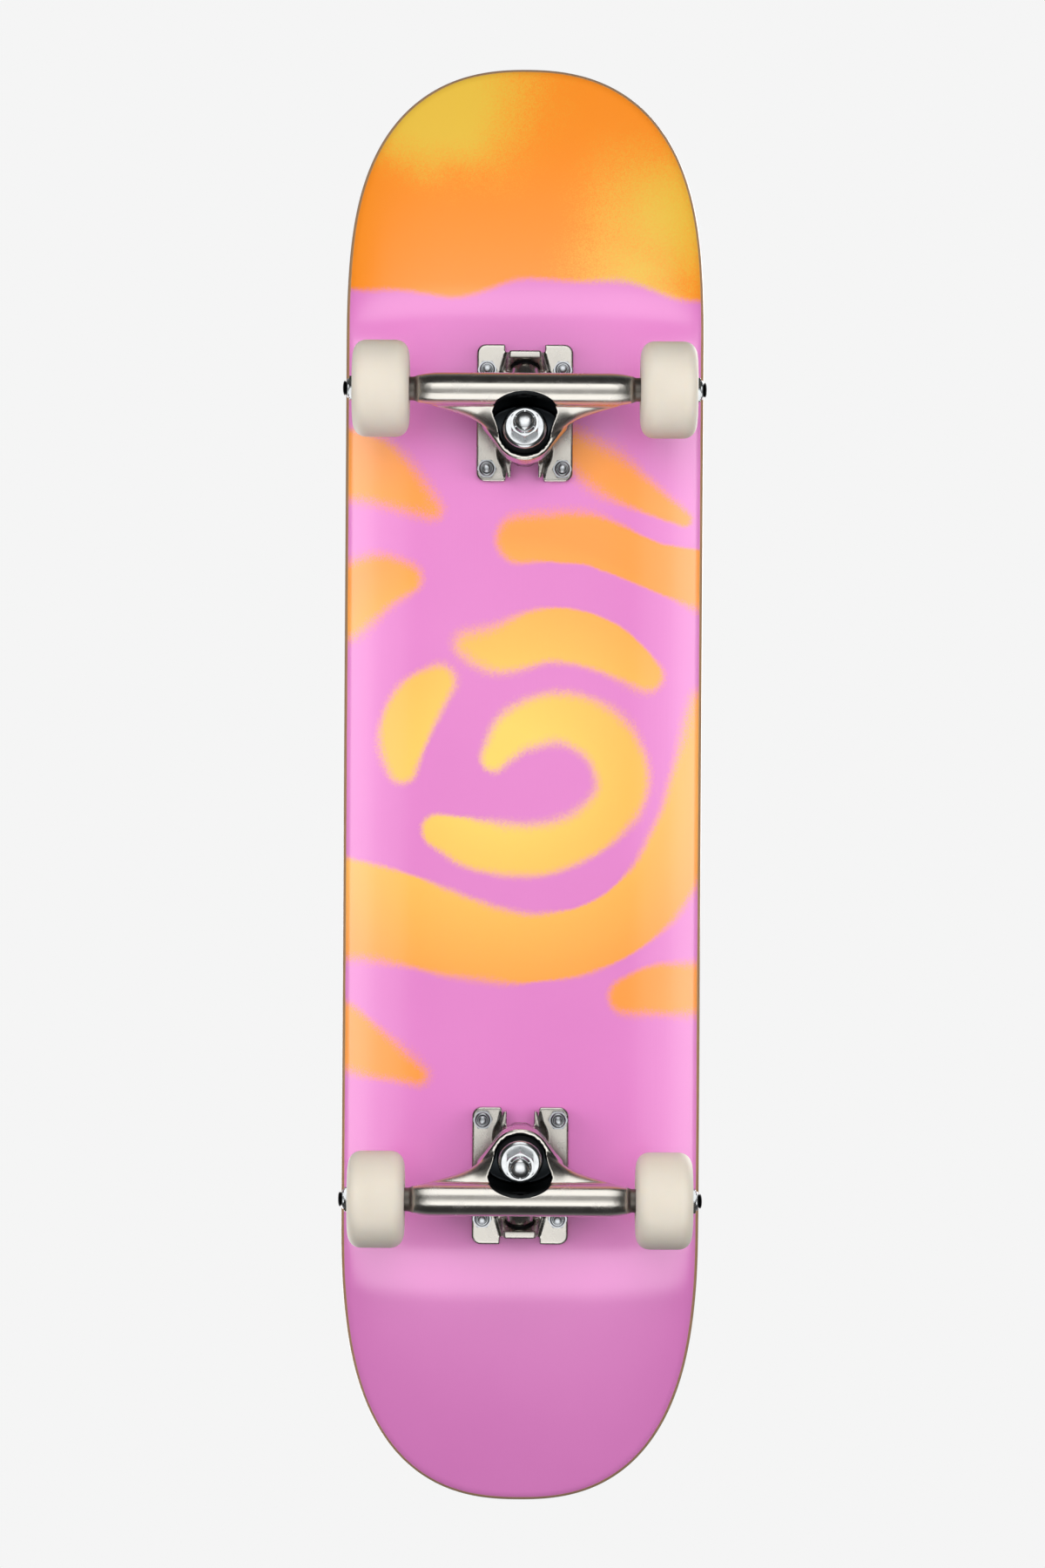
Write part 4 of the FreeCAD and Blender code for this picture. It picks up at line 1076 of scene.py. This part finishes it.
def wheelProfile():
    r, w = wheel["radius"], wheel["halfWidth"]
    start, end = np.array((r, wheel["treadHalf"])), np.array((wheel["sideRadius"], w))
    pull, flat = np.array((r, 12.4)), np.array((22.6, w))
    shoulder = []
    for k in range(25):
        t = k / 24
        shoulder.append(tuple(start * (1 - t) ** 3 + pull * 3 * t * (1 - t) ** 2
                              + flat * 3 * t * t * (1 - t) + end * t ** 3))
    seat = wheel["seatRadius"]
    face = [(15.2, w), (14.9, w - 0.12), (14.6, w - 0.35), (14.1, w - 0.35), (13.8, w - 0.12), (13.5, w)]
    hub = [(seat + 1.3, w), (seat + 0.9, w - 0.15), (seat + 0.3, w - 0.9), (seat, w - 1.6),
           (seat, wheel["spacerHalf"]), (wheel["hubBore"], wheel["spacerHalf"])]
    half = [(r, 0.0), (r, wheel["treadHalf"] * 0.5)] + shoulder + face + hub
    return half + [(radius, -z) for radius, z in half[:0:-1]]


def makeWheels():
    model = joined("wheelModel", [lathe(wheelProfile(), wheel["segments"])])
    smoothShade(model, 40)
    nutModel = joined("axleNutModel", [nutShape(fastener["axleNut"])])
    smoothShade(nutModel, 24)
    for end, matrix in truckEnds.items():
        for side, sign in sideSign.items():
            across = sign if end == "front" else -sign
            hub = Vector((truck["axleX"], across * truck["wheelY"], truck["axleZ"]))
            name, body = f"{end}_{side}", f"{end}_{side}_wheel_body"
            piece = placed(model, f"{name}_streetWheel", matrix @ pointing(hub, Vector((0, across, 0))))
            piece.data.materials.append(look["wheel"])
            settle(piece, body, "wheel_urethane", f"{name}_wheel")
            nutPlace = matrix @ pointing(hub + Vector((0, across * 13.0, 0)), Vector((0, across, 0)))
            nut = placed(nutModel, f"{name}_axleNut", nutPlace)
            nut.data.materials.append(look["zinc"])
            settle(nut, f"{end}_axle_body", "zinc_plated_steel", f"{name}_axle_nut")
    bpy.data.objects.remove(model)
    bpy.data.objects.remove(nutModel)


makeWheels()
print("wheels poured")


# CAD pieces that only need their materials

nodeLooks = {
    "grip_tape": "grip", "bottom_washer": "zinc", "top_washer": "zinc", "speed_washers": "zinc",
    "board_bushing": "bushing", "road_bushing": "bushing", "pivot_cup": "bushing", "shields": "bushing",
    "outer_rings": "bearing", "inner_rings": "bearing", "balls": "bearing", "cages": "cage",
    "spacer": "machined",
}
for nodeName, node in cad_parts.items():
    plain = nodeName
    for prefix in ("front_", "rear_", "left_", "right_"):
        plain = plain.removeprefix(prefix)
    if plain in nodeLooks:
        node.data.materials.clear()
        node.data.materials.append(look[nodeLooks[plain]])
        node.data.polygons.foreach_set("material_index", [0] * len(node.data.polygons))
print("CAD pieces finished")


# Studio: a bank of reflector cards just under the board, which only the gloss sees, and broad diffuse boxes

studio = {
    "cameraDistance": 2.432,
    "frameHeight": 0.8554,       # metres of the frame's height at frameDistance
    "frameDistance": 2.5,
    "roll": 0.36,
    "background": "#F5F5F5",
    "roomLight": {"diffuse": 0.30, "below": 0.05, "above": 0.45},
    "deckCards": (
        # middle, size along and across, radiance
        ((0.46, 0.0, -0.19), (0.16, 0.60), 1.7),
        ((0.57, 0.0, -0.19), (0.06, 0.60), 1.1),
        ((0.64, 0.0, -0.19), (0.08, 0.60), 0.5),
        ((-0.40, 0.0, -0.19), (0.22, 0.60), 2.2),
        ((-0.54, 0.0, -0.19), (0.06, 0.60), 1.2),
        ((-0.61, 0.0, -0.19), (0.08, 0.60), 0.5),
        ((0.0, 0.20, -0.19), (0.58, 0.08), 0.9),
        ((0.0, -0.20, -0.19), (0.58, 0.08), 0.9),
        ((0.0, 0.33, -0.19), (0.58, 0.18), 2.3),
        ((0.0, -0.33, -0.19), (0.58, 0.18), 2.3),
    ),
    "truckCards": (
        # from and to, in degrees round the hanger's barrel with the board's tip positive, and radiance
        (9.0, 35.0, 1.9),
        (-4.0, 9.0, 1.3),
        (-33.0, -4.0, 0.55),
        (-84.0, -36.0, 1.75),
    ),
    "truckCardReach": 0.8,
    "truckCardWidth": 0.5,
    "boxes": (
        # place, size, power in watts, and whether the gloss sees it
        ((0.50, 0.0, -2.1), (1.4, 1.4), 27.0, False),
        ((0.10, 1.3, -0.8), (1.2, 0.8), 10.0, False),
        ((0.10, -1.3, -0.8), (1.2, 0.8), 10.0, False),
        ((0.6, 1.2, 2.2), (1.6, 1.6), 26.0, True),
        ((-0.8, -1.0, 2.0), (1.6, 1.6), 16.0, True),
    ),
}


def addLamp(name, place, aim, size, power, shows, lit=None):
    lamp = bpy.data.lights.new(name, "AREA")
    lamp.shape = "RECTANGLE"
    lamp.size, lamp.size_y = size
    lamp.energy = power
    lampObject = addObject(name, lamp)
    aim = (Vector(aim) - Vector(place)).normalized()
    across = Vector((0, 1, 0)) if abs(aim.y) < 1e-6 else aim.cross(Vector((1, 0, 0))).normalized()
    turn = Matrix((across.cross(-aim), across, -aim)).transposed().to_4x4()
    lampObject.matrix_world = Matrix.Translation(place) @ turn
    lampObject.visible_camera = False
    lampObject.visible_diffuse, lampObject.visible_glossy = shows
    lampObject.light_linking.receiver_collection = lit


def addCard(name, place, aim, size, radiance, lit):
    # a reflector that only the gloss of the pieces in one collection sees
    addLamp(name, place, aim, size, radiance * math.pi * size[0] * size[1], (False, True), lit)


def cardReceivers():
    # each end's metal and everything else get their own cards
    groups = {name: bpy.data.collections.new(name + "CardReceivers") for name in ("front", "rear", "deck")}
    for piece in [thing for thing in bpy.data.objects if thing.type == "MESH"]:
        shaders = [m.node_tree.nodes["Principled BSDF"] for m in piece.data.materials if m]
        metals = [shader for shader in shaders if shader.inputs["Metallic"].default_value > 0]
        middle = sum((Vector(corner) for corner in piece.bound_box), Vector()) / 8
        if not metals:
            groups["deck"].objects.link(piece)
            continue
        if middle.x > -0.05:
            groups["front"].objects.link(piece)
        if middle.x < 0.05:
            groups["rear"].objects.link(piece)
    return groups


def makeCards():
    groups = cardReceivers()
    for k, (place, size, radiance) in enumerate(studio["deckCards"]):
        addCard(f"deckCard{k}", place, (place[0], place[1], 1), size, radiance, groups["deck"])
    for end, matrix in truckEnds.items():
        barrel = matrix @ Vector((truck["axleX"], 0, truck["axleZ"])) * mm
        facing = 1 if end == "front" else -1
        for k, (start, stop, radiance) in enumerate(studio["truckCards"]):
            edges = []
            for angle in (math.radians(start), math.radians(stop)):
                direction = Vector((facing * math.sin(angle), 0, -math.cos(angle)))
                edges.append(barrel + direction * studio["truckCardReach"])
            size = ((edges[1] - edges[0]).length, studio["truckCardWidth"])
            addCard(f"{end}Card{k}", (edges[0] + edges[1]) / 2, barrel, size, radiance, groups[end])


def makeRoom(scene):
    world = bpy.data.worlds.new("studioRoom")
    world.use_nodes = True
    scene.world = world
    add = nodeAdder(world.node_tree)
    ray = add("LightPath").outputs
    direction = add("TexCoord").outputs["Generated"]
    height = add("SeparateXYZ", {0: direction}).outputs["Z"]
    light = studio["roomLight"]
    gloss = add("MapRange", {"Value": height, "From Min": 0.0, "From Max": 0.8,
                             "To Min": light["below"], "To Max": light["above"]})
    strength = add("Mix", {0: ray["Is Diffuse Ray"], 2: gloss, 3: light["diffuse"]})
    room = world.node_tree.nodes["Background"]
    setInputs(world.node_tree, room, {"Color": "#F1F1F2", "Strength": strength})
    wall = add("Background", {"Color": studio["background"], "Strength": 1.0})
    both = add("MixShader", {0: ray["Is Camera Ray"], 1: room, 2: wall})
    setInputs(world.node_tree, world.node_tree.nodes["World Output"], {"Surface": both})


def makeFloor():
    # pale, partly lit by itself so that it doesn't grey towards the horizon, and clear from below
    corners = [(-6, -6, 0), (6, -6, 0), (6, 6, 0), (-6, 6, 0)]
    material = bpy.data.materials.new("paleFloor")
    material.use_nodes = True
    tree = material.node_tree
    add = nodeAdder(tree)
    paint = tree.nodes["Principled BSDF"]
    setInputs(tree, paint, {"Base Color": "#ECECEC", "Roughness": 0.9})
    glow = add("Emission", {"Color": "#F2F2F2", "Strength": 0.95})
    surface = add("MixShader", {0: 0.68, 1: paint, 2: glow})
    behind = add("NewGeometry").outputs["Backfacing"]
    both = add("MixShader", {0: behind, 1: surface, 2: add("BsdfTransparent")})
    setInputs(tree, tree.nodes["Material Output"], {"Surface": both})
    floor = meshObject("studioFloor", corners, [(0, 1, 2, 3)], material)
    floor.visible_diffuse = floor.visible_glossy = floor.visible_shadow = False


def makeCamera(scene):
    camera = bpy.data.cameras.new("underCamera")
    camera.sensor_fit = "VERTICAL"
    camera.sensor_height = 24.0
    camera.lens = camera.sensor_height * studio["frameDistance"] / studio["frameHeight"]
    camera.clip_end = 50
    cameraObject = addObject("underCamera", camera)
    turn = math.radians(studio["roll"])
    up = Vector((math.cos(turn), -math.sin(turn), 0))
    back = Vector((0, 0, -1))
    right = up.cross(back)
    facing = Matrix((right, up, back)).transposed().to_4x4()
    cameraObject.matrix_world = Matrix.Translation((0, 0, -studio["cameraDistance"])) @ facing
    scene.camera = cameraObject


bpy.context.scene.view_settings.view_transform = "Standard"
makeRoom(bpy.context.scene)
makeCards()
for k, (place, size, power, seen) in enumerate(studio["boxes"]):
    addLamp(f"softBox{k}", place, (0, 0, 0.08), size, power, (True, seen))
makeFloor()
makeCamera(bpy.context.scene)
print("studio set")
